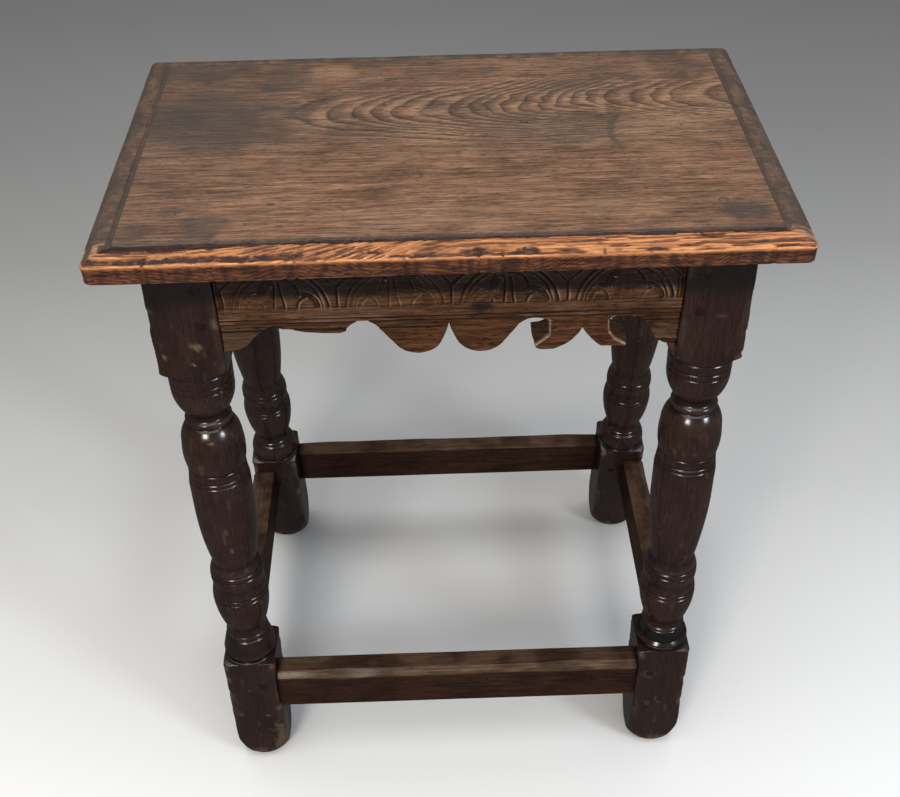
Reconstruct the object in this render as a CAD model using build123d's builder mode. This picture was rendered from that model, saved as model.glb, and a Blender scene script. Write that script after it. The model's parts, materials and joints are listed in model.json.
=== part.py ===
from build123d import *
import os
from math import cos, radians, sin, tan

# Oak joint stool: one moulded board pegged to four raked, turned legs, which are joined by four
# rails under the board and four stretchers near the floor, all with drawbored mortise-and-tenon
# joints. Millimetres. Origin on the floor under the middle of the board, +Z up, front towards -Y.

os.makedirs("parts", exist_ok=True)

# ------------------------------------------------------------------ overall
height = 550
top_length = 461
top_width = 282
top_thick = 18.5

# ------------------------------------------------------------------ frame layout
leg_x = 179             # leg axis from the middle, side to side
leg_top_y = 91.5        # leg axis from the middle, front to back, at the underside of the board
rake = 4.62             # lean of each leg towards the front or the back, degrees

# ------------------------------------------------------------------ legs
stock = 47.8            # upper block and turning stock, square
foot_block = 44.8       # lower block, square
block_low_top = 129.5   # top of the lower block
neck_high = 153         # lowest neck, above which the stock is wider than the lower block
block_high_low = 436.5  # bottom of the upper block
foot_flat = 13          # radius of the worn flat under the foot
foot_round = 24         # height at which the rounding of the foot starts

# ------------------------------------------------------------------ turning: radii and heights
torus_r = 22.2          # torus over the lower block
neck_r = 16.4
low_cup_r = 23
low_cup_high = 195
ring_low_r = 20.6       # ring over the lower cup
ring_low = 207.5
ring_high_r = 17.6
ring_high = 230.5
vase_r = 23.8           # long vase, at its widest
vase_wide = 308
bulb_low_r = 21.4       # quirk between vase and bulb
bulb_low = 342.7
bulb_step = 1.2         # the bulb stands out and up from the quirk by this much
bulb_high_r = 16.7
bulb_high = 383.2
bead_r = 17.6           # bead over the bulb
bead_wide = 386.5
high_neck_r = 15.3
high_neck = 390.5
high_cup_r = 23.6       # cup under the upper block
high_cup_high = 420

# ------------------------------------------------------------------ rails
rail_deep = 83
rail_thick = 22
rail_set = 1            # face of a rail behind the face of the leg
frieze_deep = 51.2      # flat face above the run moulding
step_in = 2             # moulding and apron behind the frieze
bead_drop = 1           # top of the bead below the frieze
bead = 3                # width of the bead
lower_flat = 4.7        # flat between the bead and the lower quirk
quirk = 1               # width and depth of the quirks
split_deep = 9          # where the front of the apron has split away

# ------------------------------------------------------------------ stretchers
stretcher_low = 73.5
stretcher_deep = 40.7
stretcher_thick = 21.6
stretcher_wear = 3.5    # worn upper outer arris

# ------------------------------------------------------------------ joints
tenon_thick = 9
tenon_set = 7           # outer cheek of a tenon behind the face of its rail or stretcher
tenon_gap = 2           # between two tenons that meet in one leg
tenon_fit = 0.1         # clearance of a mortise at cheeks and edges
mortise_end = 0.5       # clearance of a mortise past the end of its tenon
haunch = 14             # top shoulder of a rail tenon
toe = 9                 # bottom shoulder of a rail tenon
stretcher_shoulder = 4  # top and bottom shoulder of a stretcher tenon
tenon_root = 6          # a front or back tenon starts this far inside its shoulder

# ------------------------------------------------------------------ pegs
peg_r = 4               # to the corners of the eight-sided peg
peg_fit = 0.05
peg_proud = 0.4
peg_inset = 12.5        # peg from the shoulder line
rail_peg_drop = 26      # upper peg of a front or back joint below the board
rail_peg_pitch = 28
peg_stagger = 13        # side pegs below the front and back ones, so that they pass
stretcher_peg_rise = 7  # front and back pegs above the middle, side ones as far below
top_peg_deep = 27       # into the leg

# ------------------------------------------------------------------ moulded edge of the board
border = 19             # width of the moulding
hollow_out = 14.2       # outer edge of the hollow, in from the edge of the board
hollow_deep = 2.2
crest_drop = 1          # ovolo below the field
arris_drop = 5.7        # arris below the field
lower_round = 2.6       # worn lower arris

under_top = height - top_thick
leg_foot_y = leg_top_y + under_top * tan(radians(rake))
half = stock / 2
foot_half = foot_block / 2
leg_long = under_top / cos(radians(rake))
rail_low = leg_long - rail_deep
stretcher_mid = stretcher_low + stretcher_deep / 2
sides_x = {"left": -1, "right": 1}
sides_y = {"front": -1, "back": 1}


# ------------------------------------------------------------------ frames and joints
def raked_frame(x, sy):
    """Frame with its Z up the legs of one side (sy = -1 front, 1 back) and its X to the right."""
    lean = (0, -sy * sin(radians(rake)), cos(radians(rake)))
    return Plane(origin=(x, sy * leg_foot_y, 0), x_dir=(1, 0, 0), z_dir=lean)


def on(frame, plane):
    """A plane given in the frame's own axes."""
    return Plane(frame.location * plane.location)


def cheek(block_half, setback):
    """Outer cheek of a tenon, from the leg's axis."""
    return block_half - setback - tenon_set


def reach(block_half, setback):
    """Length of a tenon, so that it ends short of the one that crosses it."""
    return block_half + cheek(block_half, setback) - tenon_thick - tenon_gap


def inner_y(z, block_half, depth):
    """Distance from the middle, at height z, of a point that lies depth inside the leg."""
    axis_y = leg_top_y + (under_top - z) * tan(radians(rake))
    return axis_y + (depth - block_half) / cos(radians(rake))


def side_board(low, high, block_half, depth):
    """Corners, in Y and Z, of a board between front and back leg that enters both by depth."""
    low_y = inner_y(low, block_half, depth)
    high_y = inner_y(high, block_half, depth)
    return [(-low_y, low), (low_y, low), (high_y, high), (-high_y, high)]


def front_tenon(sy, low, high, block_half, setback, fit):
    """Both tenons of a front or back piece, low and high measured up the leg.

    Returns their faces and their thickness. With a fit they are what the mortises are cut by.
    """
    start = leg_x - block_half - tenon_root
    long = tenon_root + reach(block_half, setback) + (mortise_end if fit else 0)
    outer = cheek(block_half, setback) + fit
    with BuildSketch(on(raked_frame(0, sy), Plane.XZ.offset(-sy * outer))) as faces:
        with Locations(*[(sx * (start + long / 2), (low + high) / 2) for sx in (-1, 1)]):
            Rectangle(long, high - low + 2 * fit)
    return faces.sketch, sy * (tenon_thick + 2 * fit)


def side_tenon(sx, low, high, block_half, setback, fit):
    """Both tenons of a side piece as one board, low and high measured from the floor."""
    depth = reach(block_half, setback) + (mortise_end if fit else 0)
    outer = leg_x + cheek(block_half, setback) + fit
    with BuildSketch(Plane.YZ.offset(sx * outer)) as face:
        Polygon(*side_board(low - fit, high + fit, block_half, depth), align=None)
    return face.sketch, -sx * (tenon_thick + 2 * fit)


rail_tenon = (half, rail_set)
foot_tenon = (foot_half, 0)
front_rail_span = (rail_low + toe, leg_long - haunch)
side_rail_span = (under_top - rail_deep + toe, under_top - haunch)
front_foot_span = (stretcher_low + stretcher_shoulder,
                   stretcher_low + stretcher_deep - stretcher_shoulder)
side_foot_span = front_foot_span


def front_peg_places(block_half, heights):
    """Pegs of a front or back piece in X and height up the leg."""
    x = leg_x - block_half + peg_inset
    return [(sx * x, up) for sx in (-1, 1) for up in heights]


def side_peg_places(block_half, heights):
    """Pegs of a side piece in Y and Z."""
    return [(sy * inner_y(z, block_half, peg_inset), z) for sy in (-1, 1) for z in heights]


drops = [rail_peg_drop, rail_peg_drop + rail_peg_pitch]
front_rail_pegs = front_peg_places(half, [leg_long - drop for drop in drops])
side_rail_pegs = side_peg_places(half, [under_top - drop - peg_stagger for drop in drops])
front_foot_pegs = front_peg_places(foot_half, [stretcher_mid + stretcher_peg_rise])
side_foot_pegs = side_peg_places(foot_half, [stretcher_mid - stretcher_peg_rise])
top_peg_places = [(sx * leg_x, sy * leg_top_y) for sx in (-1, 1) for sy in (-1, 1)]


def eight_sided(plane, places, radius):
    """Sections of pegs, or of the holes that they press into shape, at these places of a plane."""
    with BuildSketch(plane) as sections:
        with Locations(*places):
            RegularPolygon(radius, 8)
    return sections.sketch


def peg_holes(plane, places):
    return eight_sided(plane, places, peg_r + peg_fit)


# ------------------------------------------------------------------ legs
def swell(start, end, share):
    """An arc that rises over its chord by this share of the chord, out from the leg's axis."""
    a = Vector(*start)
    b = Vector(*end)
    chord = b - a
    crest = (a + b) / 2 + Vector(chord.Y, -chord.X) * share
    ThreePointArc(a, crest, b)


def turning():
    """Half outline of the turned leg, radius and height: foot, block, baluster, block."""
    corner = 0.75 * stock    # outside the corners of the square stock
    bulb_start = (bulb_low_r + bulb_step, bulb_low + bulb_step)
    with BuildLine() as line:
        Line((0, 0), (foot_flat, 0))
        swell((foot_flat, 0), (corner, foot_round), 0.1)
        Polyline((corner, foot_round), (corner, block_low_top), (torus_r, block_low_top))
        swell((torus_r, block_low_top), (neck_r, neck_high), 0.08)
        swell((neck_r, neck_high), (low_cup_r, low_cup_high), 0.04)
        Line((low_cup_r, low_cup_high), (ring_low_r, ring_low))
        swell((ring_low_r, ring_low), (ring_high_r, ring_high), 0.11)
        swell((ring_high_r, ring_high), (vase_r, vase_wide), 0.024)
        Polyline((vase_r, vase_wide), (bulb_low_r, bulb_low), bulb_start)
        swell(bulb_start, (bulb_high_r, bulb_high), 0.09)
        Polyline((bulb_high_r, bulb_high), (bead_r, bead_wide), (high_neck_r, high_neck))
        swell((high_neck_r, high_neck), (high_cup_r, high_cup_high), 0.08)
        Polyline((high_cup_r, high_cup_high), (high_cup_r, block_high_low), (corner, block_high_low))
        Polyline((corner, block_high_low), (corner, height), (0, height), (0, 0))
    return line.line


def make_leg(sx, sy):
    frame = raked_frame(sx * leg_x, sy)
    with BuildPart() as leg:
        with BuildSketch(frame.offset(-foot_block)):
            Rectangle(foot_block, foot_block)
        extrude(amount=foot_block + neck_high)
        with BuildSketch(frame.offset(neck_high)):
            Rectangle(stock, stock)
        extrude(amount=leg_long + stock - neck_high)
        with BuildSketch(on(frame, Plane.XZ)):
            with BuildLine():
                add(turning())
            make_face()
        revolve(axis=Axis(frame.origin, frame.z_dir), mode=Mode.INTERSECT)
        split(bisect_by=Plane.XY, keep=Keep.TOP)
        split(bisect_by=Plane.XY.offset(under_top), keep=Keep.BOTTOM)
        # mortises
        extrude(*front_tenon(sy, *front_rail_span, *rail_tenon, tenon_fit), mode=Mode.SUBTRACT)
        extrude(*front_tenon(sy, *front_foot_span, *foot_tenon, tenon_fit), mode=Mode.SUBTRACT)
        extrude(*side_tenon(sx, *side_rail_span, *rail_tenon, tenon_fit), mode=Mode.SUBTRACT)
        extrude(*side_tenon(sx, *side_foot_span, *foot_tenon, tenon_fit), mode=Mode.SUBTRACT)
        # peg holes
        front_holes = peg_holes(on(raked_frame(0, sy), Plane.XZ), front_rail_pegs + front_foot_pegs)
        extrude(front_holes, amount=stock, both=True, mode=Mode.SUBTRACT)
        side_holes = peg_holes(Plane.YZ, side_rail_pegs + side_foot_pegs)
        extrude(side_holes, amount=top_length / 2, both=True, mode=Mode.SUBTRACT)
        top_holes = peg_holes(Plane.XY.offset(under_top), top_peg_places)
        extrude(top_holes, amount=-top_peg_deep, mode=Mode.SUBTRACT)
    return leg


for name_y, sy in sides_y.items():
    for name_x, sx in sides_x.items():
        leg = make_leg(sx, sy)
        leg.part.label = f"leg_{name_y}_{name_x}"
        export_step(leg.part, f"parts/{leg.part.label}.step")


# ------------------------------------------------------------------ rails
def moulding_waste(plane, face, out):
    """What the moulding plane takes off a rail: X runs outwards (out = 1 or -1), Y up to the top."""
    back = face - out * step_in
    floor = back - out * quirk
    bead_top = -frieze_deep - bead_drop
    bead_low = bead_top - bead
    lip = bead_low - quirk - lower_flat
    bead_crown = (back + out * bead / 2, bead_low + bead / 2)
    with BuildSketch(plane) as waste:
        with BuildLine():
            Polyline((back, lip - quirk), (floor, lip - quirk), (floor, lip), (back, lip),
                     (back, bead_low - quirk), (floor, bead_low - quirk), (floor, bead_low),
                     (back, bead_low))
            ThreePointArc((back, bead_low), bead_crown, (back, bead_top))
            Polyline((back, bead_top), (back, -frieze_deep), (face + out, -frieze_deep),
                     (face + out, -2 * rail_deep), (back, -2 * rail_deep), (back, lip - quirk))
        make_face()
    return waste.sketch


def apron_outline():
    """Front rail: brackets, lobes and the broken places, X and height up the rail."""
    edge = leg_x - half
    with BuildSketch() as outline:
        with BuildLine():
            Polyline((edge, 0), (edge, rail_deep), (-edge, rail_deep), (-edge, 5.3), (-147, 6.8))
            # left bracket and the edge left where the apron broke off
            ThreePointArc((-147, 6.8), (-141.5, 8.6), (-138, 11))
            ThreePointArc((-138, 11), (-130, 19.8), (-118, 26.3))
            Polyline((-118, 26.3), (-115, 22.8), (-100, 19.8), (-76, 18.1), (-71.5, 19.3))
            # arch and the middle pair of lobes
            ThreePointArc((-71.5, 19.3), (-60, 27.6), (-49, 21.8))
            Line((-49, 21.8), (-38, 8))
            ThreePointArc((-38, 8), (-23, 0), (-8, 6.8))
            ThreePointArc((-8, 6.8), (-4, 15.5), (-1.3, 24.3))
            ThreePointArc((-1.3, 24.3), (1.2, 16.5), (5, 8.3))
            ThreePointArc((5, 8.3), (20.5, 0), (36, 7.8))
            Line((36, 7.8), (46, 21.3))
            # arch that returns under itself to the beak of the scroll
            ThreePointArc((46, 21.3), (57, 26.2), (66, 23.3))
            Polyline((66, 23.3), (54.3, 19.8), (57, 5))
            ThreePointArc((57, 5), (58.5, 1.4), (62, 0))
            Line((62, 0), (70, 0))
            ThreePointArc((70, 0), (79, 4.4), (89.5, 17.3))
            # last lobe, broken off on its right
            ThreePointArc((89.5, 17.3), (95.5, 8.6), (103, 1.6))
            Polyline((103, 1.6), (120, 1.6), (121, 8), (117.5, 16), (107.3, 21), (111.5, 25.7),
                     (122, 25.8))
            # right bracket
            ThreePointArc((122, 25.8), (131.5, 20.5), (137, 12.5))
            Polyline((137, 12.5), (141, 5.3), (148.5, 2.2), (149.5, 0), (edge, 0))
        make_face()
    return outline.sketch


def plain_outline():
    with BuildSketch() as outline:
        Rectangle(2 * (leg_x - half), rail_deep, align=(Align.CENTER, Align.MIN))
    return outline.sketch


# where only the back half of the apron's thickness is left
splits = [[(53, 3), (57.5, 3), (67.3, 11), (67.3, 22.8), (53, 22.8)],
          [(107.3, 21), (108, 12.8), (112, 6.8), (121, 2), (124, 2), (124, 21)]]


def make_front_rail(sy, outline, breaks):
    """Front or back rail, parallel to the raked faces of its legs."""
    frame = raked_frame(0, sy)
    face = sy * (half - rail_set)
    board = on(frame, Plane(origin=(0, face, rail_low), x_dir=(1, 0, 0), z_dir=(0, -1, 0)))
    section = on(frame, Plane(origin=(0, 0, leg_long), x_dir=(0, 1, 0), z_dir=(1, 0, 0)))
    with BuildPart() as rail:
        with BuildSketch(board):
            add(outline)
        extrude(amount=sy * rail_thick)
        for corners in breaks:
            with BuildSketch(board):
                Polygon(*corners, align=None)
            extrude(amount=sy * split_deep, mode=Mode.SUBTRACT)
        extrude(moulding_waste(section, face, sy), amount=leg_x, both=True, mode=Mode.SUBTRACT)
        split(bisect_by=Plane.XY.offset(under_top), keep=Keep.BOTTOM)
        extrude(*front_tenon(sy, *front_rail_span, *rail_tenon, 0))
        holes = peg_holes(on(frame, Plane.XZ), front_rail_pegs)
        extrude(holes, amount=stock, both=True, mode=Mode.SUBTRACT)
    return rail


def make_side_rail(sx):
    """Side rail, upright, with shoulders cut to the lean of the legs."""
    face = sx * (leg_x + half - rail_set)
    low = under_top - rail_deep
    section = Plane(origin=(0, 0, under_top), x_dir=(1, 0, 0), z_dir=(0, -1, 0))
    with BuildPart() as rail:
        with BuildSketch(Plane.YZ.offset(face)):
            Polygon(*side_board(low, under_top, half, 0), align=None)
        extrude(amount=-sx * rail_thick)
        extrude(moulding_waste(section, face, sx), amount=height, both=True, mode=Mode.SUBTRACT)
        extrude(*side_tenon(sx, *side_rail_span, *rail_tenon, 0))
        extrude(peg_holes(Plane.YZ, side_rail_pegs), amount=top_length / 2, both=True,
                mode=Mode.SUBTRACT)
    return rail


rails = {"front": make_front_rail(-1, apron_outline(), splits),
         "back": make_front_rail(1, plain_outline(), []),
         "left": make_side_rail(-1),
         "right": make_side_rail(1)}
for name, rail in rails.items():
    rail.part.label = f"rail_{name}"
    export_step(rail.part, f"parts/{rail.part.label}.step")


# ------------------------------------------------------------------ stretchers
def make_front_stretcher(sy):
    """Front or back stretcher, flush with the raked faces of its legs."""
    frame = raked_frame(0, sy)
    face = sy * foot_half
    board = on(frame, Plane(origin=(0, face, stretcher_low), x_dir=(1, 0, 0), z_dir=(0, -1, 0)))
    with BuildPart() as stretcher:
        with BuildSketch(board):
            Rectangle(2 * (leg_x - foot_half), stretcher_deep, align=(Align.CENTER, Align.MIN))
        extrude(amount=sy * stretcher_thick)
        outer = stretcher.faces().sort_by(Axis.Y)[0 if sy < 0 else -1]
        chamfer(outer.edges().sort_by(Axis.Z)[-1], length=stretcher_wear)
        extrude(*front_tenon(sy, *front_foot_span, *foot_tenon, 0))
        holes = peg_holes(on(frame, Plane.XZ), front_foot_pegs)
        extrude(holes, amount=stock, both=True, mode=Mode.SUBTRACT)
    return stretcher


def make_side_stretcher(sx):
    """Side stretcher, upright, flush with the outer faces of its legs."""
    face = sx * (leg_x + foot_half)
    with BuildPart() as stretcher:
        with BuildSketch(Plane.YZ.offset(face)):
            Polygon(*side_board(stretcher_low, stretcher_low + stretcher_deep, foot_half, 0),
                    align=None)
        extrude(amount=-sx * stretcher_thick)
        outer = stretcher.faces().sort_by(Axis.X)[0 if sx < 0 else -1]
        chamfer(outer.edges().sort_by(Axis.Z)[-1], length=stretcher_wear)
        extrude(*side_tenon(sx, *side_foot_span, *foot_tenon, 0))
        extrude(peg_holes(Plane.YZ, side_foot_pegs), amount=top_length / 2, both=True,
                mode=Mode.SUBTRACT)
    return stretcher


stretchers = {"front": make_front_stretcher(-1), "back": make_front_stretcher(1),
              "left": make_side_stretcher(-1), "right": make_side_stretcher(1)}
for name, stretcher in stretchers.items():
    stretcher.part.label = f"stretcher_{name}"
    export_step(stretcher.part, f"parts/{stretcher.part.label}.step")


# ------------------------------------------------------------------ board
def edge_moulding():
    """Section of the moulded edge: X in from the edge, Y up from the floor."""
    with BuildLine() as line:
        Line((border, height), (border - 0.8, height - 1.4))
        ThreePointArc((border - 0.8, height - 1.4), (border - 2.8, height - hollow_deep),
                      (hollow_out, height - crest_drop))
        ThreePointArc((hollow_out, height - crest_drop), (5.8, height - 2.4),
                      (0, height - arris_drop))
        Line((0, height - arris_drop), (0, under_top + lower_round))
        RadiusArc((0, under_top + lower_round), (lower_round, under_top), -lower_round)
        Polyline((lower_round, under_top), (border, under_top), (border, height))
    return line.line


with BuildPart() as top_board:
    with BuildSketch(Plane.XY.offset(under_top)):
        Rectangle(top_length - 2 * border, top_width - 2 * border)
    extrude(amount=top_thick)
    with BuildSketch(Plane(origin=(0, -top_width / 2, 0), x_dir=(0, 1, 0), z_dir=(1, 0, 0))):
        with BuildLine():
            add(edge_moulding())
        make_face()
    with BuildLine():
        Polyline((0, -top_width / 2, 0), (top_length / 2, -top_width / 2, 0),
                 (top_length / 2, top_width / 2, 0), (-top_length / 2, top_width / 2, 0),
                 (-top_length / 2, -top_width / 2, 0), (0, -top_width / 2, 0))
    sweep(transition=Transition.RIGHT)
    extrude(peg_holes(Plane.XY.offset(under_top), top_peg_places), amount=top_thick,
            mode=Mode.SUBTRACT)
top_board.part.label = "top_board"
export_step(top_board.part, "parts/top_board.step")


# ------------------------------------------------------------------ pegs
def make_pegs(plane, places, long):
    with BuildPart() as pegs:
        extrude(eight_sided(plane, places, peg_r), amount=long)
    return pegs


pegs = {"top": make_pegs(Plane.XY.offset(height), top_peg_places, -top_thick - top_peg_deep)}
for name, sy in sides_y.items():
    face = on(raked_frame(0, sy), Plane.XZ)
    for piece, places, block_half in (("rail", front_rail_pegs, half),
                                      ("stretcher", front_foot_pegs, foot_half)):
        inner = face.offset(sy * block_half)
        pegs[f"{piece}_{name}"] = make_pegs(inner, places, -sy * (2 * block_half + peg_proud))
for name, sx in sides_x.items():
    for piece, places, block_half in (("rail", side_rail_pegs, half),
                                      ("stretcher", side_foot_pegs, foot_half)):
        inner = Plane.YZ.offset(sx * (leg_x - block_half))
        pegs[f"{piece}_{name}"] = make_pegs(inner, places, sx * (2 * block_half + peg_proud))
for name, group in pegs.items():
    group.part.label = f"pegs_{name}"
    export_step(group.part, f"parts/{group.part.label}.step")
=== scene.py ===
import json
from math import atan2, ceil, cos, hypot, pi, radians, sin, tan

import bmesh
import bpy
import numpy as np
from mathutils import Matrix, Vector
from mathutils.geometry import delaunay_2d_cdt


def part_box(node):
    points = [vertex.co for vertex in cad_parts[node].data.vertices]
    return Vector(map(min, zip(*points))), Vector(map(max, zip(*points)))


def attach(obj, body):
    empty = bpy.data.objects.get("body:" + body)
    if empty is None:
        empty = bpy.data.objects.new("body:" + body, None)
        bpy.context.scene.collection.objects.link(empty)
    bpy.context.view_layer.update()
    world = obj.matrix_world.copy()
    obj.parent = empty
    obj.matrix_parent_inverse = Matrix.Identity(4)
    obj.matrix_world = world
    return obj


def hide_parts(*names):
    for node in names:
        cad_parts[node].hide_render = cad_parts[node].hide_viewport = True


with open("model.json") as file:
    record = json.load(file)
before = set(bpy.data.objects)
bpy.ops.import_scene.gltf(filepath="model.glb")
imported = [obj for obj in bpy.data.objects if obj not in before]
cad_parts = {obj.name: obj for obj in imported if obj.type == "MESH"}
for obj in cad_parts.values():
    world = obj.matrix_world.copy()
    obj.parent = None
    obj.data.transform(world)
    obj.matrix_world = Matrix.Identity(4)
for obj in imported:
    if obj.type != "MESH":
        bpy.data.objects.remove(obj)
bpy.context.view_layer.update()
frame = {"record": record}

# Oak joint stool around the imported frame. All shapes are worked out in millimetres and turned into
# metres in add_piece. Every leg, rail, stretcher, board and peg group stands for its CAD node.

MM = 0.001
SEED = 1660

# ------------------------------------------------------------------ sizes from the frame
board_low, board_high = (np.array(corner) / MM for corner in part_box("top_board"))
under_top, height = board_low[2], board_high[2]
half_long, half_wide = board_high[0], board_high[1]
mounts = {mount["name"]: np.array(mount["pos_m"]) / MM for mount in frame["record"]["mounts"]}
leg_x, leg_foot_y = mounts["foot_back_right"][:2]
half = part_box("leg_back_right")[1][0] / MM - leg_x
foot_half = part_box("stretcher_right")[1][0] / MM - leg_x
peg_r = 4
leg_top_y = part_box("pegs_top")[1][1] / MM - peg_r
rake = atan2(leg_foot_y - leg_top_y, under_top)
lean, level = sin(rake), cos(rake)
leg_long = under_top / level
frame_top = under_top - 0.02    # the frame stops a hair under the board

# ------------------------------------------------------------------ sizes of the pieces
block_low_top = 129.5
block_high_low = 436.5
neck_high = 153
foot_flat = 13

rail_thick = 22
rail_deep = 83
rail_face = half - 1
frieze_low = leg_long - 51.2
step_in = 2
bead_top = frieze_low - 1
bead_low = bead_top - 3
bead_middle = (bead_top + bead_low) / 2
quirk = 1
lip_top = bead_low - quirk - 4.7
rail_edge = leg_x - half
carving_low = 490.3

stretcher_low = 73.5
stretcher_deep = 40.7
stretcher_thick = 21.6
stretcher_edge = leg_x - foot_half
stretcher_mid = stretcher_low + stretcher_deep / 2

border = 19
hollow_out = 14.2
hollow_deep = 2.2
crest_drop = 1
arris_drop = 5.7
lower_round = 2.6
corner_round = 4.5

peg_inset = 12.5
peg_proud = 0.4
rail_peg_drops = (26, 54)
peg_stagger = 13
stretcher_peg_rise = 7

sides_x = {"left": -1, "right": 1}
sides_y = {"front": -1, "back": 1}


# ------------------------------------------------------------------ numbers and noise
def smooth(low, high, x):
    """0 below low, 1 above high, and a soft step between them."""
    t = np.clip((x - low) / (high - low), 0, 1)
    return t * t * (3 - 2 * t)


def bell(x, wide):
    """1 where x is 0, and next to nothing beyond twice this width."""
    return np.exp(-(x / wide) ** 2)


def lattice(ix, iy, iz, seed):
    """A repeatable random number from 0 to 1 for each corner of a lattice."""
    h = (ix * 374761393 + iy * 668265263 + iz * 1442695041 + seed * 974711) & 0xFFFFFFFF
    h = ((h ^ (h >> 13)) * 1274126177) & 0xFFFFFFFF
    return (h ^ (h >> 16)) / 0xFFFFFFFF


def noise(points, size, seed):
    """Smooth noise from 0 to 1, with features of about this size in millimetres."""
    q = points / np.array(size)
    cell = np.floor(q).astype(np.int64)
    f = q - cell
    f = f * f * (3 - 2 * f)
    total = 0
    for dx in (0, 1):
        for dy in (0, 1):
            for dz in (0, 1):
                weight = ((f[..., 0] if dx else 1 - f[..., 0]) * (f[..., 1] if dy else 1 - f[..., 1])
                          * (f[..., 2] if dz else 1 - f[..., 2]))
                total = total + weight * lattice(cell[..., 0] + dx, cell[..., 1] + dy,
                                                 cell[..., 2] + dz, seed)
    return total


def rough(points, size, seed, octaves=3):
    """Layers of noise, each half as large and half as strong as the one before."""
    size = np.array(size, dtype=float)
    total = sum(noise(points, size / 2**k, seed + k) / 2**k for k in range(octaves))
    return total / (2 - 2**(1 - octaves))


def arc(a, b, c, step=1.0):
    """Points on the circle through a, b and c, from a to c."""
    a, b, c = (np.array(p, dtype=float) for p in (a, b, c))
    d = 2 * (a[0] * (b[1] - c[1]) + b[0] * (c[1] - a[1]) + c[0] * (a[1] - b[1]))
    sq = [p @ p for p in (a, b, c)]
    centre = np.array([sq[0] * (b[1] - c[1]) + sq[1] * (c[1] - a[1]) + sq[2] * (a[1] - b[1]),
                       sq[0] * (c[0] - b[0]) + sq[1] * (a[0] - c[0]) + sq[2] * (b[0] - a[0])]) / d
    radius = hypot(*(a - centre))
    angles = [atan2(*(p - centre)[::-1]) for p in (a, b, c)]
    turn = (angles[2] - angles[0]) % (2 * pi)
    if (angles[1] - angles[0]) % (2 * pi) > turn:
        turn -= 2 * pi
    count = max(3, ceil(abs(turn) * radius / step) + 1)
    along = angles[0] + np.linspace(0, turn, count)
    return centre + radius * np.stack([np.cos(along), np.sin(along)], -1)


def line(*corners, step=1.0):
    """Points along straight runs, at most one step apart."""
    out = [np.array([corners[0]], dtype=float)]
    for a, b in zip(corners, corners[1:]):
        a, b = np.array(a, dtype=float), np.array(b, dtype=float)
        count = max(1, ceil(hypot(*(b - a)) / step))
        out.append(a + (b - a) * np.linspace(0, 1, count + 1)[1:, None])
    return np.concatenate(out)


def path(*strokes):
    """Strokes joined end to end, each starting where the one before ends."""
    joined = [strokes[0]]
    for stroke in strokes[1:]:
        joined.append(stroke[1:])
    return np.concatenate(joined)


def distance(points, polyline):
    """Distance of each point in a plane from a polyline."""
    best = np.full(points.shape[:-1], 1e9)
    for a, b in zip(polyline, polyline[1:]):
        run = b - a
        t = np.clip(((points - a) @ run) / (run @ run + 1e-12), 0, 1)
        gap = points - a - t[..., None] * run
        best = np.minimum(best, np.hypot(gap[..., 0], gap[..., 1]))
    return best


def inside(points, loop):
    """Which points of a plane lie inside a closed loop."""
    found = np.zeros(points.shape[:-1], dtype=bool)
    for a, b in zip(loop, np.roll(loop, -1, axis=0)):
        crosses = (a[1] > points[..., 1]) != (b[1] > points[..., 1])
        at = a[0] + (points[..., 1] - a[1]) * (b[0] - a[0]) / (b[1] - a[1] + 1e-12)
        found ^= crosses & (points[..., 0] < at)
    return found


def flat(x, y):
    """Points of a plane, with the third number that noise takes."""
    return np.stack([x, y, 0 * x], -1)


def pairs(x, y):
    """Points of a plane."""
    return np.stack([x, y], -1)


def closed(loop):
    """A loop whose last point is its first again."""
    return np.concatenate([loop, loop[:1]])


def spread(xs, ys):
    """Every point of a plane with one of these X and one of these Y."""
    return pairs(*np.meshgrid(xs, ys)).reshape(-1, 2)


# ------------------------------------------------------------------ meshes
def grid_faces(rows, columns, wrap=False):
    """Four-sided faces over a grid of points, closed round its columns if it wraps."""
    i = (np.arange(rows - 1) * columns)[:, None]
    j = np.arange(columns if wrap else columns - 1)[None, :]
    k = (j + 1) % columns
    return np.stack([i + j, i + k, i + columns + k, i + columns + j], -1).reshape(-1, 4).tolist()


def tube_faces(rows, columns):
    """Faces of a tube with this many points round it, closed at both ends."""
    ends = [list(range(columns)), [(rows - 1) * columns + i for i in range(columns)]]
    return grid_faces(rows, columns, wrap=True) + ends


def wall_faces(above, below):
    """Four-sided faces between two closed rings of point numbers."""
    return np.stack([above, np.roll(above, -1), np.roll(below, -1), below], -1).tolist()


def fill(loop, inner, numbers):
    """Triangles over a flat loop and the points inside it, whose point numbers are given in turn."""
    points = [Vector(p) for p in np.concatenate([loop, inner]).tolist()]
    found = delaunay_2d_cdt(points, [], [list(range(len(loop)))], 1, 1e-6)
    source = [int(numbers[origin[0]]) for origin in found[3]]
    return [[source[i] for i in face] for face in found[2]]


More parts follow.
